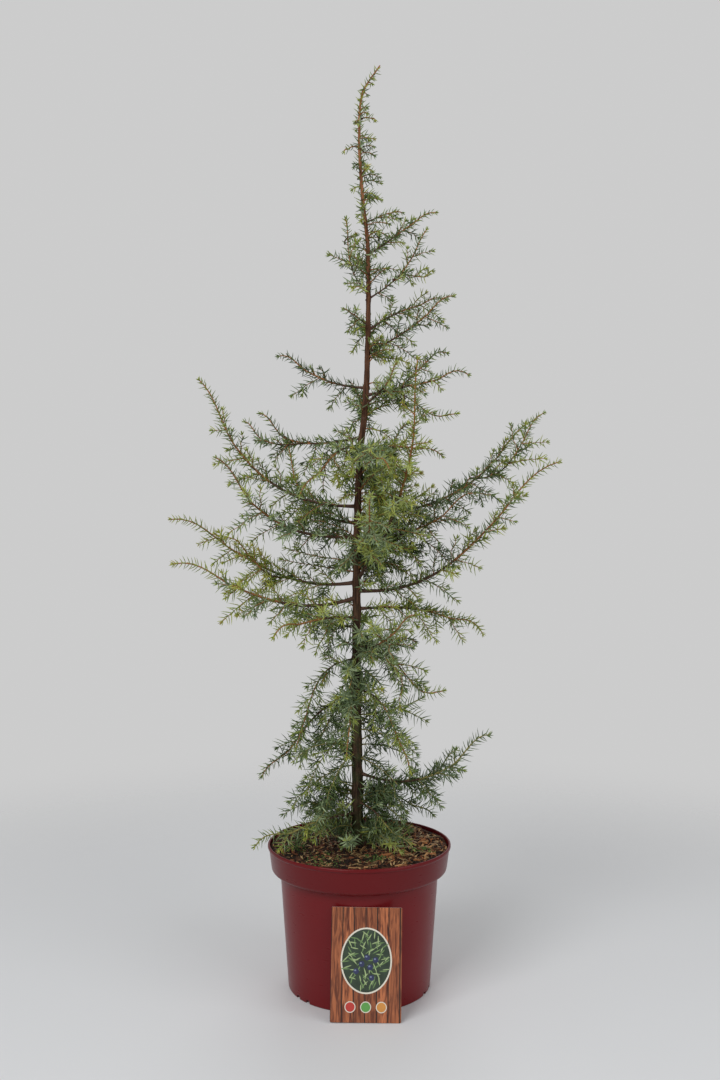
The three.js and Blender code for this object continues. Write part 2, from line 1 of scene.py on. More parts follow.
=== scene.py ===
"""The looks of a young potted juniper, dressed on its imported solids. Lengths are in millimetres."""
import bpy
import numpy as np
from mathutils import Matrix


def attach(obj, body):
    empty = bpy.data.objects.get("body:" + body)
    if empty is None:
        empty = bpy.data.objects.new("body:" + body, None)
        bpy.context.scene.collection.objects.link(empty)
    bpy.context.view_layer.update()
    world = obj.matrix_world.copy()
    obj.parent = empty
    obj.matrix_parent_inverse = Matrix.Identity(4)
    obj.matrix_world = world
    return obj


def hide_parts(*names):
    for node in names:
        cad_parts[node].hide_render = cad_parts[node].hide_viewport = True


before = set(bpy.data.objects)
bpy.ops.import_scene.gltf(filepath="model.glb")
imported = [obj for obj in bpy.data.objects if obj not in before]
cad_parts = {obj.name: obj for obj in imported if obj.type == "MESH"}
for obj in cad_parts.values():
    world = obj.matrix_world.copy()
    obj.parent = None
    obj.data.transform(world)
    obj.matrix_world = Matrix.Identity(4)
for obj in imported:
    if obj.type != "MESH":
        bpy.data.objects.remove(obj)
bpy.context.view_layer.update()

MM = 0.001
UP = np.array([0.0, 0.0, 1.0])
TURN = 2 * np.pi
GOLDEN = TURN * 0.381966

# Pot, soil and card, as the solids have them
POT_HEIGHT = 195.5
POT_BASE_RADIUS = 98.5
POT_NECK_RADIUS = 109.6
POT_NECK_HEIGHT = 158.0
COLLAR_FOOT_RADIUS = 122.0
COLLAR_FOOT_HEIGHT = 164.0
POT_RIM_RADIUS = 126.8
POT_WALL = 2.0
SOIL_HEIGHT = 191.0
SOIL_EDGE_RISE = 1.5
CARD_WIDTH = 91.0
CARD_HEIGHT = 142.0
CARD_THICKNESS = 0.9
CARD_AT = (9.0, -127.5, 0.3)
CARD_ROLL = 0.9
CARD_CORNER = 1.4
BOARDS_A_CARD_HEIGHT = 9.6

# The pot's steps round, and its drain slots, in pairs round the foot: bearings in degrees
POT_SEGMENTS = 480
DRAIN_PAIRS = 6
DRAIN_FIRST = 220.0
DRAIN_SPLIT = 6.0
DRAIN_WIDTH = 6.4
DRAIN_HEIGHT = 4.6

# The soil's steps round, and what lies on it: how many, and how far out
SOIL_SEGMENTS = 260
CHIP_COUNT = 4400
CHIP_REACH = 121.0
MOSS_COUNT = 1100
MOSS_RING = (14.0, 117.0)
MOSS_PATCHES = [(-48, -76, 14), (-88, -22, 9), (24, -70, 8), (88, -30, 7), (-30, 60, 14), (40, 74, 11)]
LITTER_COUNT = 520
LITTER_REACH = 112.0

# Trunk: sideways offset, offset to the back, and radius, each by height
TRUNK_TIP = 1276
TRUNK_X = [
    (191, -2), (460, -4), (700, -1), (832, 10), (1020, 12), (1101, 4), (1181, 0), (1238, 5), (TRUNK_TIP, 29),
]
TRUNK_Y = [(191, 0), (480, 6), (760, -4), (1000, 3), (TRUNK_TIP, -6)]
TRUNK_RADIUS = [
    (191, 12.5), (201, 9.6), (224, 8.2), (300, 7.4), (546, 5.4), (840, 3.9), (1030, 2.8), (1190, 1.8),
    (TRUNK_TIP, 1.1),
]

# What swells the trunk, as shares of its radius, and how far a bough's collar runs along it
ROOT_LOBES = 0.16
BARK_RIDGES = 0.17
BARK_ROUGHNESS = 0.035
BOUGH_COLLARS = 0.24
COLLAR_RUN = 5.5

# Boughs grow by the same rule as the solids
GAP = 0.3
LIMB_FOOT_SHARE = 0.5
STEM_RADIUS = 2.1
CURVE_FULLNESS = 0.42
SWEEP = 14.0
SWEEP_STEP = 2.4
SOLID_WHORL_PITCH = 27.0
SOLID_FIRST_WHORL = 10.0
SOLID_LAST_WHORL = 13.0
ARCH_START = 0.68
TIP_ARCH = 9.0
TINT_OF = {"deep": 0.2, "blue": 0.7, "fresh": 1.2, "gold": 1.8}
TINT_RUN = 0.4

# Height, heading, reach, rise, leaving and arriving tilt, twig length, tint and bare length, and where
# the bough forks, the fork's share of the foliage, turn, reach and rise
BOUGHS = [
    (1202, 355, 22, -3, 30, -35, 16, "gold", 0),
    (1164, 170, 22, -6, 25, -40, 16, "fresh", 0),
    (1126, 290, 26, 2, 30, -20, 16, "gold", 0),
    (1094, 70, 30, 6, 30, -10, 17, "fresh", 0),
    (1061, 8, 53, 14, 25, -5, 20, "fresh", 0),
    (1018, 15, 101, 64, 32, 22, 24, "fresh", 0),
    (992, 110, 78, 42, 30, 30, 24, "fresh", 0),
    (965, 195, 33, 98, 38, 80, 22, "fresh", 0, 0.8, -150, 18, 8),
    (955, 343, 84, 88, 26, 64, 26, "fresh", 0, 0.4, 30, 50, 10),
    (917, 232, 54, 12, 25, 10, 24, "blue", 0),
    (912, 22, 123, 50, 34, 12, 32, "fresh", 0),
    (900, 102, 108, 42, 28, 20, 28, "fresh", 0),
    (880, 344, 122, 69, 22, 28, 33, "blue", 0),
    (828, 172, 126, 47, 4, 26, 24, "deep", 0),
    (818, 350, 143, 24, 8, 8, 24, "blue", 0, 0.05, 44, 112, 64),
    (806, 298, 88, 44, 30, 35, 22, "fresh", 0, 0.05, 62, 110, -27),
    (786, 96, 156, 60, 15, 30, 32, "blue", 0),
    (758, 172, 146, 36, -10, 58, 26, "blue", 0, 0.45, 22, 84, 28),
    (740, 232, 128, -66, 14, -38, 32, "fresh", 0),
    (724, 284, 158, -22, 22, -20, 38, "fresh", 0, 0.05, 70, 112, -2),
    (700, 66, 186, 96, 8, 44, 38, "blue", 0),
    (663, 178, 223, 178, 0, 66, 32, "fresh", 72),
    (652, 16, 270, 140, 0, 44, 41, "blue", 76, 0.42, -24, 96, 92),
    (640, 122, 214, 132, 4, 56, 36, "fresh", 66),
    (620, 206, 206, 104, -2, 52, 40, "blue", 64),
    (612, 334, 176, 66, 8, 34, 42, "deep", 0),
    (600, 276, 166, 70, 18, 34, 32, "fresh", 0),
    (578, 82, 238, 118, 2, 40, 36, "blue", 66),
    (567, 300, 156, 280, 46, 84, 38, "gold", 70),
    (556, 168, 277, 90, -8, 20, 38, "gold", 76, 0.1, 30, 88, 56),
    (545, 352, 280, 178, -2, 36, 36, "fresh", 74),
    (534, 198, 256, 50, -14, 18, 34, "gold", 72),
    (520, 22, 200, -42, 4, -24, 30, "gold", 0),
    (508, 222, 146, -20, 4, -24, 30, "gold", 0),
    (494, 128, 206, 30, 0, 20, 34, "blue", 0),
    (468, 306, 132, 50, 0, 36, 42, "fresh", 0, 0.05, 44, 106, -58),
    (462, 58, 172, -4, 4, 4, 34, "deep", 0),
    (449, 194, 86, -122, -8, -66, 27, "fresh", 0),
    (414, 262, 92, -84, 4, -62, 32, "fresh", 0, 0.05, 58, 98, -100),
    (402, 164, 142, -126, -22, -34, 29, "blue", 0),
    (290, 350, 184, 60, -14, 44, 34, "deep", 0, 0.15, 46, 112, 30),
    (386, 88, 164, -58, -4, -26, 34, "blue", 0, 0.1, 50, 104, -92),
    (262, 180, 72, -34, 4, -20, 30, "deep", 0, 0.05, 72, 84, -22),
    (270, 8, 108, -42, 4, -20, 30, "deep", 0, 0.05, 74, 92, -34),
    (236, 212, 160, -24, 6, -14, 28, "fresh", 0),
    (250, 316, 104, -44, 4, -20, 28, "deep", 0),
]

# Shoots low on the trunk and over the soil: height, heading, length, leaving and arriving tilt, tint
FOOT_SHOOTS = [
    (206, 258, 74, -5, 26, 0.7), (208, 321, 82, 22, -18, 1.8), (207, 304, 96, 20, -20, 1.5),
    (230, 222, 88, 25, -42, 1.8), (216, 226, 56, 30, -26, 0.2), (212, 190, 66, 22, -22, 0.2),
    (214, 350, 66, 24, -24, 0.2), (352, 208, 108, -22, -76, 1.2), (318, 232, 80, -10, -74, 0.6),
    (372, 344, 92, 4, 30, 0.6), (412, 286, 58, 34, -30, 0.2), (432, 258, 54, 30, -16, 0.7),
    (448, 292, 60, 38, -6, 0.7), (466, 244, 50, 34, -20, 0.2), (484, 278, 54, 30, -28, 0.9),
    (246, 190, 98, 24, -34, 0.4), (266, 170, 94, 12, -36, 0.2), (302, 200, 100, -4, -56, 0.7),
    (352, 330, 92, 2, -34, 0.4), (330, 6, 84, 6, -46, 0.2), (312, 322, 72, -8, -40, 0.2),
    (392, 4, 98, -6, -30, 0.9), (572, 176, 104, 8, 10, 1.0), (588, 192, 98, 2, 18, 1.2),
]

# Needles, in whorls of three
NEEDLE_LENGTH = 15.4
NEEDLE_WIDTH = 1.9
NEEDLE_KEEL = 0.5
WHORL_PITCH = 5.0
MOST_NEEDLES_A_PIECE = 11500

# Each tint's colour below and along the upper face, from the darkest to the most golden
NEEDLE_COLORS = {
    "deep": ((0.046, 0.076, 0.022), (0.116, 0.164, 0.082)),
    "blue": ((0.108, 0.160, 0.053), (0.272, 0.346, 0.188)),
    "fresh": ((0.194, 0.250, 0.044), (0.330, 0.386, 0.118)),
    "spring": ((0.300, 0.332, 0.046), (0.380, 0.412, 0.092)),
    "gold": ((0.340, 0.276, 0.048), (0.410, 0.350, 0.076)),
}

# Twigs: their pitch along a limb, the heights above which twigs and limb tips are woody, the share of a
# limb with old bark, the length from which a twig carries twiglets, and the angle at which shoots leave
TWIG_PITCH = 9.5
WOODY_TWIGS_ABOVE = 430.0
WOODY_LIMB_TIPS_ABOVE = 300.0
OLD_BARK_SHARE = 0.42
LONG_TWIG = 42.0
SHOOT_OPENING = 56.0

# Shoots straight on the trunk: from, to and how many, the share of them that grows toward the front, and
# the height of the first of the leader's spurs
TRUNK_SHOOTS = [
    (200, 262, 28), (260, 480, 24), (480, 580, 8), (572, 712, 42), (712, 960, 24), (960, 1060, 9),
]
FRONT_SHARE = 0.38
SPURS_FROM = 1040

ALL_NODES = sorted(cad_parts)
FOLIAGE_NODES = [name for name in ALL_NODES if name.startswith("foliage_")]
BOUGH_NODES = [name for name in ALL_NODES if name.startswith("bough_")]


# Small maths

def unit(vectors):
    """Each vector divided by its own length."""
    return vectors / np.maximum(np.linalg.norm(vectors, axis=-1, keepdims=True), 1e-9)


def toward(heading, tilt=0.0):
    """Unit vectors toward a heading (0 right, 90 back), tilted above level, both in degrees."""
    heading, tilt = np.broadcast_arrays(np.radians(heading), np.radians(tilt))
    return np.stack([np.cos(tilt) * np.cos(heading), np.cos(tilt) * np.sin(heading), np.sin(tilt)], axis=-1)


def around(count):
    """Angles spread evenly round a full turn, from 0."""
    return np.arange(count) / count * TURN


def off_axis(points):
    """How far points are from the z axis."""
    return np.hypot(points[..., 0], points[..., 1])


def between(angle, side, across):
    """Directions at an angle from one direction toward another that is square to it."""
    return np.cos(angle)[..., None] * side + np.sin(angle)[..., None] * across


def smooth_at(stations, heights):
    """A cubic through stations of height and value, whose slope is that of the chord past each station."""
    z, value = np.array(stations, dtype=float).T
    last = len(z) - 1
    before = np.maximum(np.arange(last + 1) - 1, 0)
    after = np.minimum(np.arange(last + 1) + 1, last)
    slope = (value[after] - value[before]) / (z[after] - z[before])
    heights = np.clip(heights, z[0], z[-1])
    i = np.clip(np.searchsorted(z, heights, side="right") - 1, 0, last - 1)
    span = z[i + 1] - z[i]
    t = (heights - z[i]) / span
    rise = t * t * (3 - 2 * t)
    bow = t * (1 - t) * ((1 - t) * slope[i] - t * slope[i + 1]) * span
    return value[i] * (1 - rise) + value[i + 1] * rise + bow


def trunk_centre(heights):
    """Points on the trunk's axis."""
    heights = np.asarray(heights, dtype=float)
    return np.stack([smooth_at(TRUNK_X, heights), smooth_at(TRUNK_Y, heights), heights], axis=-1)


def trunk_radius(heights):
    """The trunk's radius at each height."""
    return smooth_at(TRUNK_RADIUS, heights)


def ripple(u, v, waves, shortest, longest, rng):
    """A sum of cosine waves in random directions, each as high as it is long, scaled to about -1 to 1."""
    length = np.geomspace(shortest, longest, waves)
    angle = rng.uniform(0, TURN, waves)
    phase = rng.uniform(0, TURN, waves)
    total = np.zeros(np.broadcast(u, v).shape)
    for k in range(waves):
        along = u * np.cos(angle[k]) + v * np.sin(angle[k])
        total += length[k] * np.cos(TURN * along / length[k] + phase[k])
    return total / np.sqrt((length ** 2).sum())


# Shader groups and materials

def new_group(name, inputs, outputs):
    """A shader node group with named sockets, and its input and output nodes."""
    group = bpy.data.node_groups.new(name, "ShaderNodeTree")
    for label, kind, value in inputs:
        group.interface.new_socket(label, in_out="INPUT", socket_type=kind).default_value = value
    for label, kind in outputs:
        group.interface.new_socket(label, in_out="OUTPUT", socket_type=kind)
    return group, group.nodes.new("NodeGroupInput"), group.nodes.new("NodeGroupOutput")


def add_node(tree, kind, links=(), **values):
    """A node with its properties set, and its inputs set or linked by name or number."""
    node = tree.nodes.new(kind)
    for key, value in values.items():
        setattr(node, key, value)
    for socket, value in dict(links).items():
        if isinstance(value, bpy.types.NodeSocket):
            tree.links.new(value, node.inputs[socket])
        else:
            node.inputs[socket].default_value = value
    return node


def maths(tree, operation, *values):
    """The result of a maths node on numbers or sockets."""
    return add_node(tree, "ShaderNodeMath", dict(enumerate(values)), operation=operation).outputs[0]


def object_place(tree):
    """The place on the object, in metres."""
    return add_node(tree, "ShaderNodeTexCoord").outputs["Object"]


def noise(tree, where, scale, detail, distortion=0.0):
    """The strength of a noise, from 0 to 1."""
    return add_node(tree, "ShaderNodeTexNoise", {
        "Vector": where, "Scale": scale, "Detail": detail, "Distortion": distortion}).outputs["Fac"]


def make_tone_group():
    """Multiplies a colour's value by 1 plus 4 times the amount times a soft noise that is centred on 0."""
    group, entry, leave = new_group("uneven tone", [
        ("Color", "NodeSocketColor", (1, 1, 1, 1)), ("Scale", "NodeSocketFloat", 100.0),
        ("Amount", "NodeSocketFloat", 0.1),
    ], [("Color", "NodeSocketColor")])
    cloud = noise(group, object_place(group), entry.outputs["Scale"], 3.0)
    swing = maths(group, "MULTIPLY", maths(group, "SUBTRACT", cloud, 0.5), entry.outputs["Amount"])
    shade = add_node(group, "ShaderNodeHueSaturation", {
        "Color": entry.outputs["Color"], "Value": maths(group, "MULTIPLY_ADD", swing, 4.0, 1.0)})
    group.links.new(shade.outputs["Color"], leave.inputs["Color"])
    return group


def make_grain_group():
    """Fine noise for roughness and relief: a height, and a roughness spread about a middle value."""
    group, entry, leave = new_group("fine grain", [
        ("Scale", "NodeSocketFloat", 800.0), ("Stretch", "NodeSocketVector", (1, 1, 1)),
        ("Roughness", "NodeSocketFloat", 0.5), ("Spread", "NodeSocketFloat", 0.1),
    ], [("Height", "NodeSocketFloat"), ("Roughness", "NodeSocketFloat")])
    bent = add_node(group, "ShaderNodeVectorMath", {
        0: object_place(group), 1: entry.outputs["Stretch"]}, operation="MULTIPLY")
    height = noise(group, bent.outputs[0], entry.outputs["Scale"], 4.0)
    rough = maths(group, "MULTIPLY_ADD", maths(group, "SUBTRACT", height, 0.5), entry.outputs["Spread"],
                  entry.outputs["Roughness"])
    group.links.new(height, leave.inputs["Height"])
    group.links.new(rough, leave.inputs["Roughness"])
    return group


TONE = make_tone_group()
GRAIN = make_grain_group()


def new_material(name, specular):
    """A material with its Principled shader ready."""
    material = bpy.data.materials.new(name)
    material.use_nodes = True
    shader = material.node_tree.nodes["Principled BSDF"]
    shader.inputs["Specular IOR Level"].default_value = specular
    return material, material.node_tree, shader


def as_color(color):
    """A colour with its alpha, or the socket that gives it."""
    return color if isinstance(color, bpy.types.NodeSocket) else (*color, 1)


def give_color(tree, shader, color, scale, amount):
    """Base colour, made uneven by the shared group. The colour may be a value or another node's socket."""
    tone = add_node(tree, "ShaderNodeGroup", {"Color": as_color(color), "Scale": scale, "Amount": amount},
                    node_tree=TONE)
    tree.links.new(tone.outputs["Color"], shader.inputs["Base Color"])


def give_grain(tree, shader, scale, stretch, roughness, spread, depth):
    """Roughness and relief from the shared group, with the relief's depth in millimetres."""
    grain = add_node(tree, "ShaderNodeGroup", {
        "Scale": scale, "Stretch": stretch, "Roughness": roughness, "Spread": spread}, node_tree=GRAIN)
    bump = add_node(tree, "ShaderNodeBump", {"Height": grain.outputs["Height"], "Distance": depth * MM})
    tree.links.new(grain.outputs["Roughness"], shader.inputs["Roughness"])
    tree.links.new(bump.outputs["Normal"], shader.inputs["Normal"])


def plain_finish(name, color, roughness, scale, amount, depth, specular=0.5):
    """A finish of one uneven colour with fine relief, for small things."""
    material, tree, shader = new_material(name, specular)
    give_color(tree, shader, color, scale, amount)
    give_grain(tree, shader, 1500.0, (1, 1, 1), roughness, 0.15, depth)
    return material


def mix_color(tree, mask, low, high):
    """Low where the mask is 0, high where it is 1. Each may be a value or a socket."""
    return add_node(tree, "ShaderNodeMix", {0: mask, 6: as_color(low), 7: as_color(high)},
                    data_type="RGBA").outputs[2]


def ranged(tree, value, low, high, start=0.0, end=1.0):
    """The value mapped from low and high to start and end, and held there."""
    return add_node(tree, "ShaderNodeMapRange", {0: value, 1: low, 2: high, 3: start, 4: end}).outputs[0]


# Piece building

def put_object(name, data):
    """An object for the data, in the scene."""
    thing = bpy.data.objects.new(name, data)
    bpy.context.scene.collection.objects.link(thing)
    return thing


def make_piece(name, points, blocks, looks, slot, replaced, smooth=True):
    """A piece from points in millimetres and blocks of faces with the number of their look."""
    mesh = bpy.data.meshes.new(name)
    sizes = np.concatenate([np.full(len(rows), rows.shape[1]) for rows, _ in blocks])
    corners = np.concatenate([rows.ravel() for rows, _ in blocks])
    look_of = np.concatenate([np.broadcast_to(look, len(rows)) for rows, look in blocks])
    mesh.vertices.add(len(points))
    mesh.vertices.foreach_set("co", (points * MM).astype(np.float32).ravel())
    mesh.loops.add(len(corners))
    mesh.loops.foreach_set("vertex_index", corners.astype(np.int32))
    mesh.polygons.add(len(sizes))
    mesh.polygons.foreach_set("loop_start", (np.cumsum(sizes) - sizes).astype(np.int32))
    mesh.polygons.foreach_set("material_index", look_of.astype(np.int32))
    mesh.polygons.foreach_set("use_smooth", np.full(len(sizes), smooth))
    for look in looks:
        mesh.materials.append(look)
    mesh.update(calc_edges=True)
    piece = put_object(name, mesh)
    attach(piece, "root")
    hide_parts(*replaced)
    return piece


def repeated(rows, copies, step):
    """The same faces for each of many copies whose points follow each other."""
    rows = np.asarray(rows)
    return (rows[None] + step * np.arange(copies)[:, None, None]).reshape(-1, rows.shape[1])


def ring_faces(rows, columns):
    """Quads between neighbouring rings of points."""
    i, j = np.meshgrid(np.arange(rows - 1), np.arange(columns), indexing="ij")
    after = (j + 1) % columns
    return np.stack([i * columns + j, i * columns + after, (i + 1) * columns + after, (i + 1) * columns + j],
                    axis=-1).reshape(-1, 4)


def fan_faces(ring, centre):
    """Triangles from each edge of a ring to a centre point, facing the way the ring runs round."""
    return np.stack([ring, np.roll(ring, -1), np.full(len(ring), centre)], axis=-1)


def cap_faces(rows, columns):
    """Fans that close the first and the last ring to the two points that follow all rings."""
    count = rows * columns
    ring = np.arange(columns)
    return np.concatenate([fan_faces(ring[::-1], count), fan_faces(count - columns + ring, count + 1)])


def skin(rows, columns, side=0, caps=0):
    """The blocks of faces of a closed stack of rings: its side and its caps, with their looks."""
    return [(ring_faces(rows, columns), side), (cap_faces(rows, columns), caps)]


def merged(parts):
    """Parts as one, from the points and the blocks of faces of each."""
    first = np.cumsum([0] + [len(points) for points, _ in parts])
    blocks = [(faces + start, look) for start, (_, own) in zip(first, parts) for faces, look in own]
    return np.concatenate([points for points, _ in parts]), blocks


def lathe(radius, height, segments):
    """A profile turned round the z axis, radius and height each by profile point, closed at both poles.

    A point is the radius times the cosine and sine of its turn, at the height. Gives points and blocks.
    """
    turn = around(segments)
    shape = (len(radius), segments)
    radius, height = [np.broadcast_to(np.asarray(part, dtype=float).reshape(len(part), -1), shape)
                      for part in (radius, height)]
    points = np.stack([radius * np.cos(turn), radius * np.sin(turn), height], axis=-1)
    poles = np.array([[0, 0, height[0].mean()], [0, 0, height[-1].mean()]])
    return np.concatenate([points.reshape(-1, 3), poles]), skin(*shape)


# Shoots: arrays of cubic curves with a sideways wave

def bent_hull(start, begin, finish, length):
    """Hull points of a shoot by its foot, the directions in which it leaves and arrives, and its length."""
    tip = start + unit(begin + finish) * length[:, None]
    third = length[:, None] / 3
    return np.stack([start, start + begin * third, tip - finish * third, tip], axis=1)


def limb_hull(start, end, begin, finish):
    """Hull points of a limb by its foot and tip and the directions in which it leaves and arrives."""
    handle = CURVE_FULLNESS * np.linalg.norm(end - start, axis=1)[:, None]
    return np.stack([start, start + begin * handle, end - finish * handle, end], axis=1)


def shoot_set(hull, foot, tip, tint, sway, rng, arch=0.0):
    """Shoots from hull points, end radii, tint, and the heights of their sideways wave and of their arch.

    The arch lifts a shoot square to its chord before the tip, so that the tip nods over.
    """
    chord = hull[:, 3] - hull[:, 0]
    way = unit(chord)
    level = np.cross(chord, UP)
    steep = np.linalg.norm(level, axis=1, keepdims=True) < 0.05 * np.linalg.norm(chord, axis=1, keepdims=True)
    count = len(hull)
    shoots = {
        "hull": hull, "side": unit(np.where(steep, np.cross(chord, [0, 1.0, 0]), level)),
        "foot": np.broadcast_to(foot, count), "tip": np.broadcast_to(tip, count),
        "tint": np.broadcast_to(tint, count), "sway": np.broadcast_to(sway, count),
        "waves": rng.uniform(5, 11, count), "phase": rng.uniform(0, TURN, count),
        "arch": np.reshape(arch, (-1, 1)) * (UP - way[:, 2:] * way),
    }
    steps = np.linspace(0, 1, 33)
    track = place(shoots, np.arange(count)[:, None], np.broadcast_to(steps, (count, 33)))
    runs = np.linalg.norm(np.diff(track, axis=1), axis=-1)
    shoots["run"] = np.concatenate([np.zeros((count, 1)), np.cumsum(runs, axis=1)], axis=1)
    return shoots


def join(*sets):
    """Several sets of shoots as one."""
    return {key: np.concatenate([shoots[key] for shoots in sets]) for key in sets[0]}


def place(shoots, which, u):
    """The cubic of four hull points at u, plus a sideways sine wave and an arch near the tip.

    The wave fades out at both ends. The arch is 6.75 w squared times (1 - w), with w from 0 to 1 over the
    last third.
    """
    v = 1 - u
    w = np.clip((u - ARCH_START) / (1 - ARCH_START), 0, 1)
    arch = (6.75 * w * w * (1 - w))[..., None] * shoots["arch"][which]
    weights = np.stack([v ** 3, 3 * v * v * u, 3 * v * u * u, u ** 3], axis=-1)
    wave = shoots["sway"][which] * np.sin(shoots["waves"][which] * u + shoots["phase"][which]) * 4 * u * v
    curve = (weights[..., None] * shoots["hull"][which]).sum(axis=-2)
    return curve + wave[..., None] * shoots["side"][which] + arch


def sample(shoots, which, u):
    """Points on the shoots, their tangents, and two directions across them."""
    point = place(shoots, which, u)
    tangent = unit(place(shoots, which, u + 1e-3) - place(shoots, which, u - 1e-3))
    side = shoots["side"][which]
    side = unit(side - (side * tangent).sum(axis=-1, keepdims=True) * tangent)
    return point, tangent, side, np.cross(tangent, side)


def parameter_at(shoots, which, distance):
    """The parameter at a distance along each shoot, from its table of running length."""
    run = shoots["run"]
    shelf = run.max() + 100
    steps = np.tile(np.linspace(0, 1, run.shape[1]), len(run))
    return np.interp(distance + which * shelf, (run + shelf * np.arange(len(run))[:, None]).ravel(), steps)


def thickness(shoots, which, u):
    """The radius, tapering from foot to tip, with a swelling where the shoot leaves its parent."""
    u = np.clip(u, 0, 1)
    foot = shoots["foot"][which]
    taper = foot + (shoots["tip"][which] - foot) * u ** 0.8
    return taper * (1 + 0.45 * np.exp(-u * shoots["run"][which, -1] / 4.0))


def tubes(shoots, stations, sides, sink):
    """Rings carried along the shoots, sunk in their parents by a length, with both ends closed by fans.

    A ring point is the centre plus the radius times cosine of side and sine of across.
    """
    count = len(shoots["foot"])
    which = np.broadcast_to(np.arange(count)[:, None], (count, stations))
    handle = np.linalg.norm(shoots["hull"][:, 1] - shoots["hull"][:, 0], axis=1) * 3
    start = -sink / np.maximum(handle, 1.0)
    share = np.linspace(0, 1, stations)
    u = start[:, None] * (1 - share) + share
    centre, tangent, side, across = sample(shoots, which, u)
    radius = thickness(shoots, which, u)[..., None, None]
    rings = centre[:, :, None] + radius * between(around(sides), side[:, :, None], across[:, :, None])
    tip = centre[:, -1] + tangent[:, -1] * shoots["tip"][:, None]
    points = np.concatenate([rings.reshape(count, -1, 3), centre[:, :1], tip[:, None]], axis=1)
    step = stations * sides + 2
    return (points.reshape(-1, 3), repeated(ring_faces(stations, sides), count, step),
            repeated(cap_faces(stations, sides), count, step))


def along_each(shoots, first, last, pitch, rng):
    """Seats at a pitch along each shoot: whose they are, their order, and their distance from the foot."""
    total = shoots["run"][:, -1]
    first = np.broadcast_to(first, len(total))
    pitch = np.broadcast_to(pitch, len(total))
    count = np.maximum(((total - first - last) / pitch).astype(int), 0)
    which = np.repeat(np.arange(len(total)), count)
    order = np.arange(len(which)) - np.repeat(np.cumsum(count) - count, count)
    return which, order, first[which] + (order + rng.uniform(0.2, 0.8, len(which))) * pitch[which]


def side_shoots(parents, first, last, pitch, size, rng, hang=0.55, radius=0.7, droop=0.35):
    """Side shoots set round each parent by the golden angle.

    Each leaves at an opening from the parent, then bends on toward the parent's way and down, more so
    below the parent than above it. Those below are longer. size gives a length by parent and share.
    """
    which, order, distance = along_each(parents, first, last, pitch, rng)
    u = parameter_at(parents, which, distance)
    point, tangent, side, across = sample(parents, which, u)
    roll = order * GOLDEN + parents["phase"][which] + rng.normal(0, 0.3, len(which))
    out = between(roll, side, across)
    below = np.clip(-out[:, 2], -1, 1)
    share = distance / parents["run"][which, -1]
    length = size(which, share) * (1 + droop * below) * rng.uniform(0.45, 1.4, len(which))
    turn = np.radians(SHOOT_OPENING + rng.normal(0, 8, len(which)))[:, None]
    begin = unit(tangent * np.cos(turn) + out * np.sin(turn))
    fall = hang * (0.25 + np.maximum(below, 0))
    finish = unit(0.6 * begin + 0.4 * tangent - fall[:, None] * UP)
    tint = parents["tint"][which] + rng.normal(0, 0.45, len(which)) + 0.3 * (share - 0.55)
    foot = np.minimum(radius, 0.8 * thickness(parents, which, u))
    return shoot_set(bent_hull(point, begin, finish, length), foot, foot * 0.6, tint, 0.06 * length, rng)


def clear_of_pot(points):
    """Whether points keep off the soil and the pot's wall."""
    out = off_axis(points)
    inside = (out < POT_RIM_RADIUS - 5) & (points[..., 2] > SOIL_HEIGHT + 1.5)
    outside = (out > POT_RIM_RADIUS + 3) | (points[..., 2] > POT_HEIGHT + 1.5)
    return inside | ((out >= POT_RIM_RADIUS - 5) & outside)


def kept(shoots, keep):
    """The shoots for which keep is true."""
    return {key: values[keep] for key, values in shoots.items()}


def keep_clear(shoots):
    """Drops shoots that would enter the soil or the pot's wall."""
    which = np.broadcast_to(np.arange(len(shoots["foot"]))[:, None], (len(shoots["foot"]), 7))
    track = place(shoots, which, np.broadcast_to(np.linspace(0.1, 1, 7), which.shape))
    return kept(shoots, clear_of_pot(track).all(axis=1))


# The plant's shoots

def bough_sweep():
    """How far each bough leaves aside of its heading, in degrees: a sine of its number in the table."""
    return SWEEP * np.sin(np.arange(len(BOUGHS)) * SWEEP_STEP)


def grow_boughs(rng):
    """Main boughs from the table, from the trunk's side to a reach and rise, with a tilt at either end."""
    at, heading, reach, rise, leave, arrive = np.array([row[:6] for row in BOUGHS], dtype=float).T
    bare = np.array([row[8] for row in BOUGHS], dtype=float)
    tint = np.array([TINT_OF[row[7]] for row in BOUGHS])
    sweep = bough_sweep()
    axis = trunk_centre(at)
    wood = np.where(bare > 0, trunk_radius(at) * LIMB_FOOT_SHARE, STEM_RADIUS)
    out = trunk_radius(at) + GAP + wood * np.abs(np.sin(np.radians(leave)))
    start = axis + toward(heading - sweep) * out[:, None]
    end = axis + toward(heading) * reach[:, None] + rise[:, None] * UP
    hull = limb_hull(start, end, toward(heading - sweep, leave), toward(heading + sweep, arrive))
    slim = np.clip(reach / 150, 0.45, 1)
    return shoot_set(hull, wood * slim * 0.95, 0.8, tint, 1.6 * slim, rng, TIP_ARCH * slim ** 2), bare


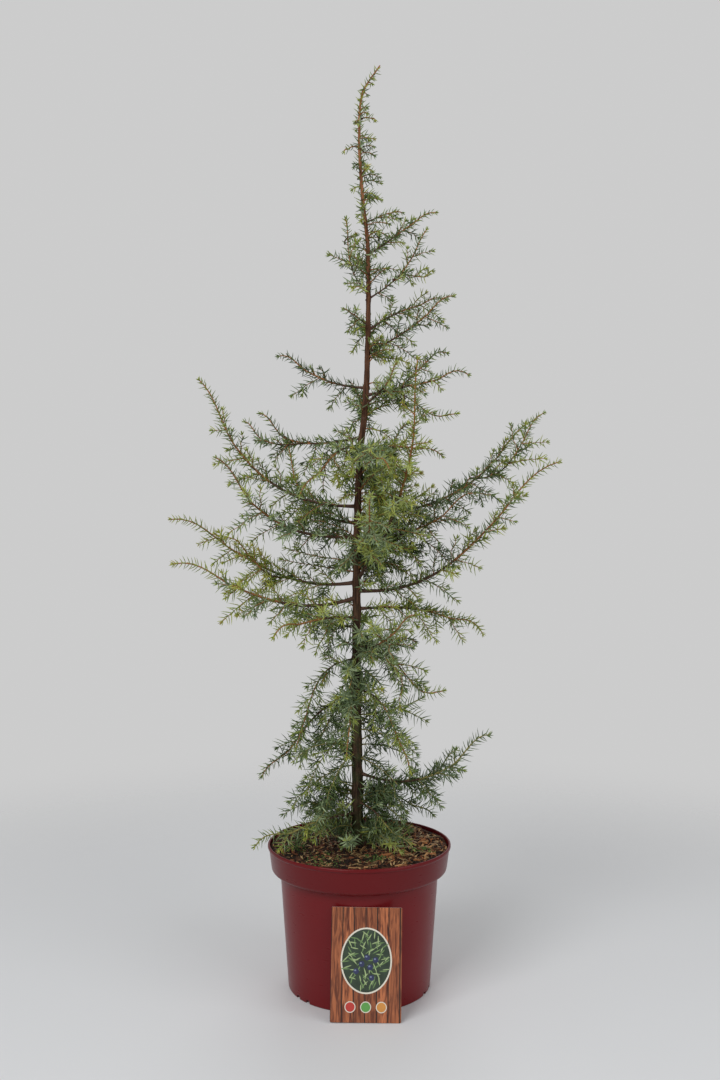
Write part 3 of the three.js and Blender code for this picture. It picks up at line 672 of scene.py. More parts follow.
def grow_forks(boughs, bare, rng):
    """Forks, each from the seat that a share of its bough's foliage gives, by the solids' whorl pitch."""
    rows = [(i, *row[9:]) for i, row in enumerate(BOUGHS) if row[9:]]
    which = np.array([row[0] for row in rows])
    share, turn, reach, rise = np.array([row[1:] for row in rows], dtype=float).T
    length = boughs["run"][which, -1]
    usable = length - bare[which] - SOLID_FIRST_WHORL - SOLID_LAST_WHORL
    seats = np.maximum(np.floor(usable / SOLID_WHORL_PITCH + 0.5), 1)
    distance = bare[which] + SOLID_FIRST_WHORL + (np.floor(share * seats) + 0.5) * usable / seats
    u = parameter_at(boughs, which, distance)
    start = place(boughs, which, u)
    heading, leave, arrive = np.array([[BOUGHS[i][k] for i in which] for k in (1, 4, 5)], dtype=float)
    heading = heading + turn
    end = start + toward(heading) * reach[:, None] + rise[:, None] * UP
    hull = limb_hull(start, end, toward(heading, leave), toward(heading, arrive))
    foot = 0.85 * thickness(boughs, which, u)
    return shoot_set(hull, foot, 0.7, boughs["tint"][which] + 0.2, 1.5, rng, 0.5 * TIP_ARCH), which


def on_trunk(heights, heading):
    """Points just under the trunk's bark, toward a heading."""
    return trunk_centre(heights) + toward(heading) * (trunk_radius(heights) * 0.8)[:, None]


def grow_trunk_shoots(rng):
    """Short shoots straight from the trunk, close together where its foliage hides it.

    Some turn toward the front. Those that would hide the trunk where it shows turn aside, and those on the
    left are shorter or longer by height.
    """
    heights = np.concatenate([rng.uniform(*row) for row in TRUNK_SHOOTS])
    count = len(heights)
    heading = np.degrees(np.arange(count) * GOLDEN) + rng.normal(0, 15, count)
    front = np.interp(heights, [500, 560, 780, 840], [265, 312, 318, 330])
    heading = np.where(rng.random(count) < FRONT_SHARE, front + rng.normal(0, 36, count), heading)
    bare_front = ((heights < 390) | (heights > 500)) & (np.abs(heading % 360 - 268) < 30)
    heading = np.where(bare_front, heading + 66, heading)
    length = np.interp(heights, [200, 300, 480, 570, 620, 650, 690, 740, 820, 1060],
                       [50, 62, 58, 60, 92, 84, 66, 50, 46, 22])
    left = np.cos(np.radians(heading)) < -0.3
    short = np.interp(heights, [280, 300, 360, 385, 500, 520, 610, 640, 745, 850, 880],
                      [1, 1.25, 1.25, 0.45, 0.45, 1.1, 1.1, 0.75, 0.6, 0.6, 1])
    length = length * rng.uniform(0.5, 1.35, count) * np.where(left, short, 1)
    leave = rng.uniform(5, 55, count)
    arrive = leave - rng.uniform(30, 85, count) * np.interp(heights, [225, 290], [0.4, 1])
    hull = bent_hull(on_trunk(heights, heading), toward(heading, leave), toward(heading, arrive), length)
    tint = rng.uniform(-0.7, 1.1, count) + np.interp(heights, [260, 520, 640], [0.1, 0.5, 1.3])
    return shoot_set(hull, 0.85, 0.45, tint, 1.5, rng)


def grow_foot_shoots(rng):
    """Single shoots from the table, set straight on the trunk."""
    height, heading, length, leave, arrive, tint = np.array(FOOT_SHOOTS, dtype=float).T
    hull = bent_hull(on_trunk(height, heading), toward(heading, leave), toward(heading, arrive), length)
    return shoot_set(hull, 0.9, 0.5, tint, 1.0, rng)


def grow_leader_spurs(rng):
    """Short drooping spurs up the leader, most of them on its right, shorter toward the tip."""
    heights = np.arange(SPURS_FROM, TRUNK_TIP - 18, 7.0)
    count = len(heights)
    heights = heights + rng.uniform(-3, 3, count)
    right = rng.random(count) < 0.74
    heading = np.where(right, rng.normal(-5, 40, count), rng.uniform(100, 260, count))
    length = np.interp(heights, [SPURS_FROM, 1150, TRUNK_TIP - 20], [30, 21, 7])
    length = length * rng.uniform(0.6, 1.3, count) * np.where(right, 1, 0.55)
    begin = toward(heading, rng.uniform(15, 45, count))
    finish = toward(heading, rng.uniform(-60, -15, count))
    hull = bent_hull(trunk_centre(heights), begin, finish, length)
    return shoot_set(hull, 0.8, 0.5, rng.uniform(0.1, 1.8, count), 0.4, rng)


def bough_twig_size(sizes):
    """The length of side shoots by parent: longest near a bough's foot, short near its tip."""
    return lambda which, share: 1.12 * sizes[which] * np.clip(1.6 * (1 - share) ** 0.8, 0.32, 1)


# Needles

def vigour(point):
    """How long needles are: longest low down and near the trunk, shorter toward the crown's edge and top."""
    reach = np.interp(off_axis(point), [0, 110, 280], [1.10, 1.02, 0.88])
    return reach * np.interp(
        point[:, 2], [196, 226, 450, 700, 1000, 1290], [0.84, 1.14, 1.12, 1.0, 0.84, 0.62])


def whorls(point, tangent, side, across, radius, turn, to_tip, scale, tint, rng):
    """Three needles round each point, a third of a turn apart, closing up toward the shoot's tip."""
    count = len(point)
    scale = scale * vigour(point)
    roll = turn[:, None] + np.arange(3) * TURN / 3 + rng.normal(0, 0.13, (count, 3))
    outward = between(roll, side[:, None], across[:, None])
    closing = np.exp(-to_tip / 3.2)[:, None]
    opening = np.radians(66 - 32 * closing + rng.normal(0, 8, (count, 3)))[..., None]
    along = tangent[:, None] * np.cos(opening) + outward * np.sin(opening)
    upper = tangent[:, None] * np.sin(opening) - outward * np.cos(opening)
    length = NEEDLE_LENGTH * scale[:, None] * (1 - 0.45 * closing) * rng.uniform(0.8, 1.1, (count, 3))
    root = point[:, None] + outward * (radius * 0.4)[:, None, None]
    # Outer needles move up the tints, paler and more golden: partly their own golden colour, partly painted
    # sunlight.
    outer_gold_and_painted_sun = 0.6 * np.interp(off_axis(point), [130, 240], [0, 1])
    shade = (tint + outer_gold_and_painted_sun + 0.7 * np.exp(-to_tip / 12))[:, None] + rng.normal(0, 0.42, (count, 3))
    return {
        "root": root.reshape(-1, 3), "along": along.reshape(-1, 3), "upper": upper.reshape(-1, 3),
        "length": length.ravel(), "tint": shade.ravel(),
    }


def needles_of(shoots, first, pitch, scale, tender, rng):
    """Whorls along each shoot at a pitch, each turned a sixth of a turn from the last, and one at its tip.

    Needles are still growing over the tender length before the tip.
    """
    which, order, distance = along_each(shoots, first, 1.0, pitch, rng)
    ends = np.arange(len(shoots["foot"]))
    total = shoots["run"][:, -1]
    which = np.concatenate([which, ends, ends])
    order = np.concatenate([order, np.zeros(len(ends)), np.ones(len(ends))])
    distance = np.concatenate([distance, total, np.maximum(total - 1.6, 0)])
    u = parameter_at(shoots, which, distance)
    point, tangent, side, across = sample(shoots, which, u)
    turn = order * TURN / 6 + shoots["phase"][which]
    to_tip = total[which] - distance
    size = scale * (0.66 + 0.34 * np.clip(to_tip / tender, 0, 1))
    tint = shoots["tint"][which] + TINT_RUN * (distance / total[which] - 0.6)
    return whorls(point, tangent, side, across, thickness(shoots, which, u), turn, to_tip, size, tint, rng)


def leader_needles(rng):
    """Whorls straight on the upper trunk, denser and shorter toward the tip."""
    heights = np.concatenate([np.arange(960, 1190, 5.4), np.arange(1190, TRUNK_TIP - 2, 4.2)])
    point = trunk_centre(heights)
    tangent = unit(trunk_centre(np.minimum(heights + 2, TRUNK_TIP)) - trunk_centre(heights - 2))
    side = unit(np.cross(tangent, [0, 1.0, 0]))
    turn = np.arange(len(heights)) * TURN / 6
    scale = np.interp(heights, [1000, 1180, TRUNK_TIP], [1.0, 1.0, 0.85])
    tint = np.interp(heights, [1000, TRUNK_TIP], [0.4, 2.2]) + rng.normal(0, 0.5, len(heights))
    return whorls(point, tangent, side, np.cross(tangent, side), trunk_radius(heights), turn,
                  TRUNK_TIP + 1 - heights, scale, tint, rng)


def needle_points(needles):
    """A keeled needle: three-point rings along a slightly bent line, narrowing to a sharp tip.

    The line is the root plus the length times (t along + 0.07 t squared upper). A ring has an edge on each
    side and the keel below them. Each needle has three rings and its tip, 10 points in all.
    """
    t = np.array([0.0, 0.32, 0.7])
    width = NEEDLE_WIDTH * np.array([0.7, 1.0, 0.6]) / 2
    length = needles["length"][:, None, None]
    along = needles["along"][:, None]
    upper = needles["upper"][:, None]
    across = np.cross(needles["along"], needles["upper"])[:, None]
    line = needles["root"][:, None] + length * (t[:, None] * along + 0.07 * t[:, None] ** 2 * upper)
    half = width[:, None] * across
    keel = width[:, None] * 2 * NEEDLE_KEEL * upper
    rings = np.stack([line + half, line - keel, line - half], axis=2).reshape(len(line), 9, 3)
    tip = needles["root"] + needles["length"][:, None] * (needles["along"] + 0.07 * needles["upper"])
    return np.concatenate([rings, tip[:, None]], axis=1)


# A needle's faces and the number of their look: keeled sides, upper face and ends
NEEDLE_FACES = [
    ([[0, 1, 4, 3], [1, 2, 5, 4], [3, 4, 7, 6], [4, 5, 8, 7]], 0),
    ([[2, 0, 3, 5], [5, 3, 6, 8]], 1),
    ([[6, 7, 9], [7, 8, 9], [8, 6, 9], [2, 1, 0]], 0),
]


def put_needles(name, needles, under, band, slot, replaced):
    """A piece of needles, green below and paler along the upper face, in parts that stay small enough."""
    points = needle_points(needles)
    for part, chunk in enumerate(np.array_split(points, len(points) // MOST_NEEDLES_A_PIECE + 1)):
        blocks = [(repeated(rows, len(chunk), chunk.shape[1]), look) for rows, look in NEEDLE_FACES]
        make_piece(f"{name}_{part + 1}", chunk.reshape(-1, 3), blocks, [under, band], slot, replaced,
                   smooth=False)


def dress_limbs(limbs, twigs, twiglets):
    """The bark of boughs and twigs: old bark at a bough's foot, then young bark, and green low down."""
    looks = [
        plain_finish("bough bark", (0.085, 0.045, 0.030), 0.8, 260, 0.14, 0.25, 0.25),
        plain_finish("young bark", (0.280, 0.122, 0.044), 0.6, 260, 0.12, 0.12, 0.25),
        plain_finish("green shoot", (0.235, 0.205, 0.060), 0.55, 200, 0.10, 0.05, 0.35),
    ]
    stations, sides = 26, 8
    points, quads, ends = tubes(limbs, stations, sides, 9.0)
    outer = np.where(limbs["hull"][:, 0, 2] < WOODY_LIMB_TIPS_ABOVE, 2, 1)
    share = np.arange(stations - 1) / (stations - 1)
    look = np.repeat(np.where(share < OLD_BARK_SHARE, 0, outer[:, None]), sides)
    closed = np.repeat(np.stack([np.zeros_like(outer), outer], axis=1), sides)
    make_piece("boughs", points, [(quads, look), (ends, closed)], looks, "bark", BOUGH_NODES + FOLIAGE_NODES)

    parts = []
    for shoots, stations, sides, sink, woody in (
            (twigs, 9, 5, 1.2, WOODY_TWIGS_ABOVE), (twiglets, 5, 4, 0.6, np.inf)):
        points, quads, ends = tubes(shoots, stations, sides, sink)
        look = (shoots["hull"][:, 0, 2] < woody).astype(int)
        parts.append((points, [(quads, np.repeat(look, (stations - 1) * sides)),
                               (ends, np.repeat(look, 2 * sides))]))
    make_piece("twigs", *merged(parts), looks[1:], "bark", FOLIAGE_NODES)


def grow_foliage():
    """All boughs, twigs, twiglets and needles, from coarse to fine."""
    rng = np.random.default_rng(18)
    boughs, bare = grow_boughs(rng)
    forks, parent = grow_forks(boughs, bare, rng)
    sizes = np.array([row[6] for row in BOUGHS], dtype=float)
    limbs = join(boughs, forks)
    limb_sizes = np.concatenate([sizes, sizes[parent] * 0.85])
    first = np.concatenate([np.where(bare > 0, bare * 0.28, 8.0), np.full(len(parent), 7.0)])
    last = np.clip(0.26 * limbs["run"][:, -1], 6, 66)
    pitch = TWIG_PITCH * np.interp(limbs["hull"][:, 0, 2], [430, 560, 640, 900], [1.45, 1, 1, 1.35])
    twigs = side_shoots(limbs, first, last, pitch, bough_twig_size(limb_sizes), rng)
    trunk_shoots = grow_trunk_shoots(rng)
    spurs = grow_leader_spurs(rng)
    twigs = keep_clear(join(twigs, trunk_shoots, grow_foot_shoots(rng), spurs))
    twiglets = keep_clear(side_shoots(
        kept(twigs, twigs["run"][:, -1] > LONG_TWIG), 9.0, 14.0, 24.0, lambda which, share: 20.0 - 8 * share,
        rng, hang=0.2, radius=0.5, droop=0.0))
    dress_limbs(limbs, twigs, twiglets)

    first = np.concatenate([bare * 0.25 + 4, np.full(len(parent), 4.0)])
    needles = join(
        needles_of(limbs, first, 0.88 * WHORL_PITCH, 0.98, 62.0, rng),
        needles_of(twigs, 3.0, WHORL_PITCH, 1.0, 9.0, rng),
        needles_of(twiglets, 2.0, WHORL_PITCH, 0.92, 6.0, rng),
        leader_needles(rng))
    tips = needles["root"] + needles["along"] * needles["length"][:, None]
    needles = kept(needles, clear_of_pot(tips) & clear_of_pot(needles["root"]))
    number = np.clip(np.floor(needles["tint"] + 0.5), 0, len(NEEDLE_COLORS) - 1)
    for k, (tint, (below, above)) in enumerate(NEEDLE_COLORS.items()):
        under = plain_finish(f"needle {tint}", below, 0.46, 60, 0.10, 0.02, 0.22)
        band = plain_finish(f"needle {tint} band", above, 0.52, 60, 0.08, 0.02, 0.22)
        put_needles(f"needles_{tint}", kept(needles, number == k), under, band, "foliage", FOLIAGE_NODES)


# Trunk

def bark_finish():
    """Fibrous bark: long noise along the trunk, red-brown above, darker with green algae low down."""
    material, tree, shader = new_material("trunk bark", 0.18)
    where = object_place(tree)
    height = add_node(tree, "ShaderNodeSeparateXYZ", {0: where}).outputs["Z"]
    long = add_node(tree, "ShaderNodeMapping", {"Vector": where, "Scale": (1, 1, 0.09)})
    fibre = noise(tree, long.outputs[0], 420.0, 5.0)
    patch = noise(tree, where, 38.0, 4.0)
    young = ranged(tree, height, 0.35, 1.15)
    leader = ranged(tree, height, 0.92, 1.20)
    dark = mix_color(tree, young, (0.020, 0.011, 0.007), (0.048, 0.018, 0.009))
    dark = mix_color(tree, leader, dark, (0.160, 0.062, 0.028))
    pale = mix_color(tree, young, (0.090, 0.049, 0.028), (0.140, 0.057, 0.028))
    pale = mix_color(tree, leader, pale, (0.370, 0.165, 0.072))
    body = mix_color(tree, ranged(tree, fibre, 0.36, 0.66), dark, pale)
    low = maths(tree, "MULTIPLY", ranged(tree, patch, 0.42, 0.62), ranged(tree, height, 0.56, 0.26))
    give_color(tree, shader, mix_color(tree, low, body, (0.048, 0.060, 0.022)), 25.0, 0.10)
    give_grain(tree, shader, 700.0, (1, 1, 0.12), 0.8, 0.2, 0.5)
    return material


def build_trunk():
    """The trunk: rings round its axis, the radius raised by fibres, root lobes and collars under the boughs.

    Fibres are ridges, the sum of folded sines whose phases wander slowly up the trunk. A collar is a bump
    that fades with the distance from a bough's foot along the trunk and round it.
    """
    rng = np.random.default_rng(3)
    rows, columns = 760, 48
    height = np.linspace(SOIL_HEIGHT - 7, TRUNK_TIP - 1, rows)
    tall, turn = np.meshgrid(height, around(columns), indexing="ij")
    radius = trunk_radius(tall)
    ridges = np.zeros_like(tall)
    for count, weight in ((5, 0.45), (9, 0.35), (14, 0.2)):
        wander = 1.1 * np.sin(tall / rng.uniform(26, 44) + rng.uniform(0, TURN))
        wander += 0.7 * np.sin(tall / rng.uniform(9, 15) + rng.uniform(0, TURN))
        ridges += weight * (np.abs(np.sin(count * turn / 2 + wander)) - 0.64)
    rough = ripple(tall, turn * 9, 9, 3.0, 22.0, rng)
    fade = np.clip(1 - (tall - SOIL_HEIGHT) / 34, 0, 1.2)
    swell = 1 + ROOT_LOBES * fade ** 1.5 * np.cos(5 * turn) + ridges * BARK_RIDGES + rough * BARK_ROUGHNESS
    at, heading = np.array([row[:2] for row in BOUGHS], dtype=float).T
    heading = np.radians(heading - bough_sweep())
    near = np.exp(-((tall[..., None] - at) / COLLAR_RUN) ** 2 - (1 - np.cos(turn[..., None] - heading)) * 5)
    swell += BOUGH_COLLARS * near.max(axis=-1)
    out = (radius * swell)[..., None]
    points = trunk_centre(tall) + out * np.stack([np.cos(turn), np.sin(turn), np.zeros_like(turn)], axis=-1)
    ends = trunk_centre(np.array([SOIL_HEIGHT - 7, TRUNK_TIP]))
    points = np.concatenate([points.reshape(-1, 3), ends])
    make_piece("trunk_bark", points, skin(rows, columns), [bark_finish()], "bark", ["trunk"])


# Pot

def rounded(corners, radii, steps):
    """An open outline with rounded corners: each is a quadratic arc that starts and ends a radius away."""
    corners = np.array(corners, dtype=float)
    t = np.linspace(0, 1, steps)[:, None]
    outline = [corners[:1]]
    for before, corner, after, radius in zip(corners[:-2], corners[1:-1], corners[2:], radii):
        start = corner + unit(before - corner) * radius
        end = corner + unit(after - corner) * radius
        outline.append((1 - t) ** 2 * start + 2 * t * (1 - t) * corner + t * t * end)
    return np.concatenate([*outline, corners[-1:]])


def pot_finish():
    """Dark red moulded plastic, satin: a collar darkened by painted shade, faint turning marks and a thin,
    specked dust.
    """
    material, tree, shader = new_material("red plastic", 0.22)
    where = object_place(tree)
    dusty = maths(tree, "MULTIPLY", ranged(tree, noise(tree, where, 14.0, 6.0), 0.48, 0.78, 0.0, 0.16),
                  ranged(tree, noise(tree, where, 900.0, 2.0), 0.52, 0.68))
    height = add_node(tree, "ShaderNodeSeparateXYZ", {0: where}).outputs["Z"]
    # Painted shade: from 156 to 162 mm up, the collar's red turns darker than the body's.
    red = mix_color(tree, ranged(tree, height, 0.156, 0.162),
                    (0.148, 0.0072, 0.0096), (0.122, 0.0052, 0.0070))
    give_color(tree, shader, mix_color(tree, dusty, red, (0.210, 0.080, 0.072)), 9.0, 0.05)
    give_grain(tree, shader, 60.0, (1, 1, 5), 0.30, 0.14, 0.05)
    return material


def build_pot():
    """The pot: its profile turned round, with pairs of drain slots lifted into its foot."""
    corners = [
        (86.0, 1.6), (90.5, 1.6), (92.0, 0.0), (POT_BASE_RADIUS - 0.2, 0.0),
        (POT_NECK_RADIUS, POT_NECK_HEIGHT), (COLLAR_FOOT_RADIUS - 0.6, POT_NECK_HEIGHT + 2.6),
        (POT_RIM_RADIUS - 1.5, POT_HEIGHT - 5.4), (POT_RIM_RADIUS + 0.3, POT_HEIGHT - 4.2),
        (POT_RIM_RADIUS + 0.3, POT_HEIGHT), (POT_RIM_RADIUS - 2.6, POT_HEIGHT),
        (POT_RIM_RADIUS - 3.0, POT_HEIGHT - 5.0), (COLLAR_FOOT_RADIUS - POT_WALL, COLLAR_FOOT_HEIGHT),
        (POT_NECK_RADIUS - POT_WALL, POT_NECK_HEIGHT - 4.0), (POT_BASE_RADIUS - POT_WALL, 6.0), (80.0, 5.6),
    ]
    radii = [1.0, 0.8, 1.6, 1.8, 4.2, 1.0, 0.9, 1.9, 1.0, 1.6, 3.0, 2.0, 2.0]
    outline = rounded(corners, radii, 5)
    wall = np.linspace(0, 1, 12)[1:-1, None]
    foot = np.searchsorted(outline[:, 1] > 60, True)
    rising = outline[foot - 1] * (1 - wall) + outline[foot] * wall
    low = outline[foot - 1] + (outline[foot] - outline[foot - 1]) * np.array([[0.012], [0.026], [0.036]])
    outline = np.concatenate([outline[:foot], low, rising, outline[foot:]])
    radius = np.repeat(outline[:, :1], POT_SEGMENTS, axis=1)
    height = np.repeat(outline[:, 1:], POT_SEGMENTS, axis=1)
    turn = np.arange(POT_SEGMENTS) / POT_SEGMENTS * 360
    slots = DRAIN_FIRST + np.arange(DRAIN_PAIRS) * 360 / DRAIN_PAIRS
    slots = np.concatenate([slots - DRAIN_SPLIT, slots + DRAIN_SPLIT])
    off = np.abs((turn[:, None] - slots + 180) % 360 - 180).min(axis=1)
    in_slot = np.radians(off) * POT_BASE_RADIUS < DRAIN_WIDTH / 2
    height = np.where(in_slot, np.maximum(height, DRAIN_HEIGHT), height)
    make_piece("pot_shell", *lathe(radius, height, POT_SEGMENTS), [pot_finish()], "pot", ["pot"])


# Soil

def ground(x, y):
    """The soil's height: a slight mound, coarse lumps and crumbs."""
    rng = np.random.default_rng(9)
    out = np.hypot(x, y) / POT_RIM_RADIUS
    return (SOIL_HEIGHT + SOIL_EDGE_RISE * out ** 2 + 1.3 * ripple(x, y, 9, 12, 60, rng)
            + 0.75 * ripple(x, y, 14, 2.2, 7, rng))


def soil_finish():
    """Moist bark and peat: dark brown with redder and paler crumbs."""
    material, tree, shader = new_material("potting soil", 0.25)
    where = object_place(tree)
    crumb = add_node(tree, "ShaderNodeTexVoronoi", {"Vector": where, "Scale": 420.0})
    cloud = noise(tree, where, 160.0, 6.0)
    body = mix_color(tree, ranged(tree, cloud, 0.38, 0.66), (0.009, 0.005, 0.003), (0.056, 0.023, 0.010))
    body = mix_color(tree, ranged(tree, crumb.outputs["Distance"], 0.30, 0.05, 0.0, 0.55), body,
                     (0.110, 0.047, 0.021))
    give_color(tree, shader, body, 60.0, 0.12)
    give_grain(tree, shader, 500.0, (1, 1, 1), 0.9, 0.15, 1.2)
    return material


def build_soil():
    """The soil: a closed filling whose top follows the ground, from the pot's floor to its wall."""
    turn = around(SOIL_SEGMENTS)
    rings = np.concatenate([[122.3, 121.6], np.linspace(120.4, 2.0, 96)])
    top = ground(rings[:, None] * np.cos(turn), rings[:, None] * np.sin(turn))
    top[0] -= 2.0
    radius = np.concatenate([[94.0, 105.5, 118.0], rings])
    height = np.concatenate([np.broadcast_to([[7.0], [152.0], [165.5]], (3, SOIL_SEGMENTS)), top])
    make_piece("soil_top", *lathe(radius, height, SOIL_SEGMENTS), [soil_finish()], "soil", ["soil"])


def strewn(count, reach, inner, rng):
    """Places on the soil, even by area: distance out, bearing, and x and y."""
    out = reach * np.sqrt(rng.uniform(inner, 1, count))
    bearing = rng.uniform(0, TURN, count)
    return out, bearing, np.stack([out * np.cos(bearing), out * np.sin(bearing)], axis=-1)


CHIP_FACES = [[0, 3, 2, 1], [4, 5, 6, 7], [0, 1, 5, 4], [1, 2, 6, 5], [2, 3, 7, 6], [3, 0, 4, 7]]

# The chips' finishes: name, colour, roughness and the amount of uneven tone
CHIP_LOOKS = [
    ("dark bark chip", (0.014, 0.007, 0.004), 0.85, 0.2),
    ("brown bark chip", (0.064, 0.025, 0.011), 0.8, 0.2),
    ("red bark chip", (0.150, 0.050, 0.020), 0.75, 0.2),
    ("tan fibre", (0.420, 0.230, 0.098), 0.75, 0.15),
    ("orange fibre", (0.330, 0.132, 0.048), 0.7, 0.15),
]


def build_chips():
    """Bark chips and fibres strewn on the soil: long boxes with narrower tops, each turned and tilted."""
    rng = np.random.default_rng(21)
    count = CHIP_COUNT
    out, bearing, centre = strewn(count, CHIP_REACH, 0.006, rng)
    right = np.clip((centre[:, 0] + 10) / 60, 0, 1)
    look = np.searchsorted([0.48, 0.76, 0.93, 1.06], rng.random(count) + 0.26 * right)
    fibre = look > 2
    length = np.clip(rng.lognormal(1.55, 0.55, count) * np.where(fibre, 1.5, 1), 2.0, 20)
    width = np.clip(length * rng.uniform(0.12, 0.5, count) * np.where(fibre, 0.45, 1), 0.7, 4.2)
    thick = np.clip(width * rng.uniform(0.3, 0.7, count), 0.5, 2.0)
    yaw = np.where(fibre, rng.normal(1.1, 0.7, count), rng.uniform(0, np.pi, count))
    pitch = rng.normal(0, 0.17, count)
    near = out + length / 2 > CHIP_REACH + 0.3
    yaw = np.where(near, bearing + np.pi / 2, yaw)
    pitch = np.where(near, pitch * 0.3, pitch)
    ahead = np.stack([np.cos(yaw) * np.cos(pitch), np.sin(yaw) * np.cos(pitch), np.sin(pitch)], axis=-1)
    across = unit(np.cross(UP, ahead) + rng.normal(0, 0.22, (count, 1)) * UP)
    above = np.cross(ahead, across)
    corner = np.array([(-1, -1), (1, -1), (1, 1), (-1, 1)], dtype=float)
    low = corner * rng.uniform(0.72, 1.0, (count, 4, 1))
    high = corner * rng.uniform(0.45, 0.85, (count, 4, 1))
    flat = np.concatenate([low, high], axis=1) * np.stack([length, width], axis=-1)[:, None] / 2
    lift = np.concatenate([np.full(4, -0.5), np.full(4, 0.5)]) * thick[:, None]
    seat = np.column_stack([centre, ground(*centre.T) + thick * 0.30])
    points = (seat[:, None] + flat[..., :1] * ahead[:, None] + flat[..., 1:] * across[:, None]
              + lift[..., None] * above[:, None])
    looks = [plain_finish(name, color, rough, 300, amount, 0.3, 0.25)
             for name, color, rough, amount in CHIP_LOOKS]
    make_piece("bark_chips", points.reshape(-1, 3),
               [(repeated(CHIP_FACES, count, 8), np.repeat(look, 6))], looks, "soil", ["soil"], smooth=False)


def build_moss():
    """Patches of moss: small three-sided spikes that lean every way, fewer away from a patch's middle."""
    rng = np.random.default_rng(33)
    patch = np.array(MOSS_PATCHES)[rng.integers(0, len(MOSS_PATCHES), MOSS_COUNT)]
    centre = patch[:, :2] + rng.normal(0, 1, (MOSS_COUNT, 2)) * patch[:, 2:]
    out = off_axis(centre)
    centre = centre[(out > MOSS_RING[0]) & (out < MOSS_RING[1])]
    count = len(centre)
    seat = np.column_stack([centre, ground(*centre.T)])
    lean = unit(np.column_stack([rng.normal(0, 0.65, (count, 2)), np.ones(count)]))
    side = unit(np.cross(lean, np.column_stack([rng.normal(0, 1, (count, 2)), np.zeros(count)])))
    across = np.cross(lean, side)
    girth = rng.uniform(0.5, 1.1, count)[:, None, None]
    ring = girth * between(around(3), side[:, None], across[:, None])
    tall = rng.uniform(1.2, 3.2, count)[:, None]
    points = np.concatenate([
        seat[:, None] - 0.4 * UP + ring, seat[:, None] + (tall * 0.5 * lean)[:, None] + ring * 1.25,
        (seat + tall * lean)[:, None]], axis=1)
    quads = repeated(ring_faces(2, 3), count, 7)
    ends = repeated([[2, 1, 0], [3, 4, 6], [4, 5, 6], [5, 3, 6]], count, 7)
    look = rng.integers(0, 2, count)
    looks = [plain_finish("moss", (0.040, 0.082, 0.020), 0.8, 200, 0.15, 0.1, 0.2),
             plain_finish("pale moss", (0.100, 0.150, 0.040), 0.8, 200, 0.15, 0.1, 0.2)]
    make_piece("moss", points.reshape(-1, 3), [(quads, np.repeat(look, 3)), (ends, np.repeat(look, 4))],
               looks, "soil", ["soil"], smooth=False)


def build_litter():
    """Dry needles lying on the soil, each flat on it at a random heading."""
    rng = np.random.default_rng(12)
    _, _, centre = strewn(LITTER_COUNT, LITTER_REACH, 0.02, rng)
    along = toward(rng.uniform(0, 360, LITTER_COUNT), rng.normal(0, 7, LITTER_COUNT))
    needles = {
        "root": np.column_stack([centre, ground(*centre.T) + 1.3]), "along": along,
        "upper": unit(UP - (along @ UP)[:, None] * along), "length": rng.uniform(7, 13, LITTER_COUNT),
    }
    dry = plain_finish("dry needle", (0.300, 0.185, 0.085), 0.6, 150, 0.15, 0.05, 0.3)
    pale = plain_finish("dry needle band", (0.400, 0.270, 0.130), 0.6, 150, 0.15, 0.05, 0.3)
    put_needles("fallen_needles", needles, dry, pale, "soil", ["soil"])


# Card

def card_lean():
    """The angle at which the card's top edge rests on the pot's wall, found by going round a few times."""
    slope = (POT_NECK_RADIUS - POT_BASE_RADIUS) / POT_NECK_HEIGHT
    lean = 0.0
    for _ in range(20):
        wall = POT_BASE_RADIUS + slope * CARD_HEIGHT * np.cos(lean)
        lean = np.arcsin((-CARD_AT[1] - wall - CARD_THICKNESS - 2 * GAP) / CARD_HEIGHT)
    return lean


def on_card(x, depth, z):
    """Points on the card: x from its middle line, z up from its foot, depth out of its front face.

    They are turned by the roll about the card's middle, then by the lean about its foot, and moved there.
    """
    roll, lean = np.radians(CARD_ROLL), card_lean()
    x, depth, z = np.broadcast_arrays(np.asarray(x, dtype=float), depth, z)
    middle = z - CARD_HEIGHT / 2
    lift = (CARD_HEIGHT + CARD_WIDTH * np.sin(roll)) / 2
    turned_x = x * np.cos(roll) + middle * np.sin(roll)
    turned_z = middle * np.cos(roll) - x * np.sin(roll) + lift
    y = -CARD_THICKNESS / 2 - depth
    return np.stack([turned_x, y * np.cos(lean) + turned_z * np.sin(lean),
                     turned_z * np.cos(lean) - y * np.sin(lean)], axis=-1) + np.array(CARD_AT)


def slab(outline, low, high, front, rim):
    """A thin plate on the card from an outline that runs counterclockwise seen from the front.

    Gives its points and its blocks of faces: the rim, and the back and the front.
    """
    outline = np.asarray(outline, dtype=float)
    count = len(outline)
    middle = outline.mean(axis=0)
    rings = [on_card(outline[:, 0], depth, outline[:, 1]) for depth in (low, high)]
    centres = [on_card(middle[0], depth, middle[1])[None] for depth in (low, high)]
    return np.concatenate([*rings, *centres]), skin(2, count, rim, np.repeat([rim, front], count))


def ellipse(x, z, across, tall, steps=48):
    """Points of an ellipse round a middle."""
    turn = around(steps)
    return np.column_stack([x + across * np.cos(turn), z + tall * np.sin(turn)])


def leaf(x, z, length, width, heading):
    """Points of a pointed leaf: a sine bulge on each side of its midrib."""
    t = np.linspace(0, 1, 9)
    bulge = width / 2 * np.sin(np.pi * t) ** 0.8
    along = np.concatenate([t, t[-2:0:-1]]) * length
    aside = np.concatenate([-bulge, bulge[-2:0:-1]])
    turn = np.radians(heading)
    return np.column_stack([x + along * np.cos(turn) - aside * np.sin(turn),
                            z + along * np.sin(turn) + aside * np.cos(turn)])


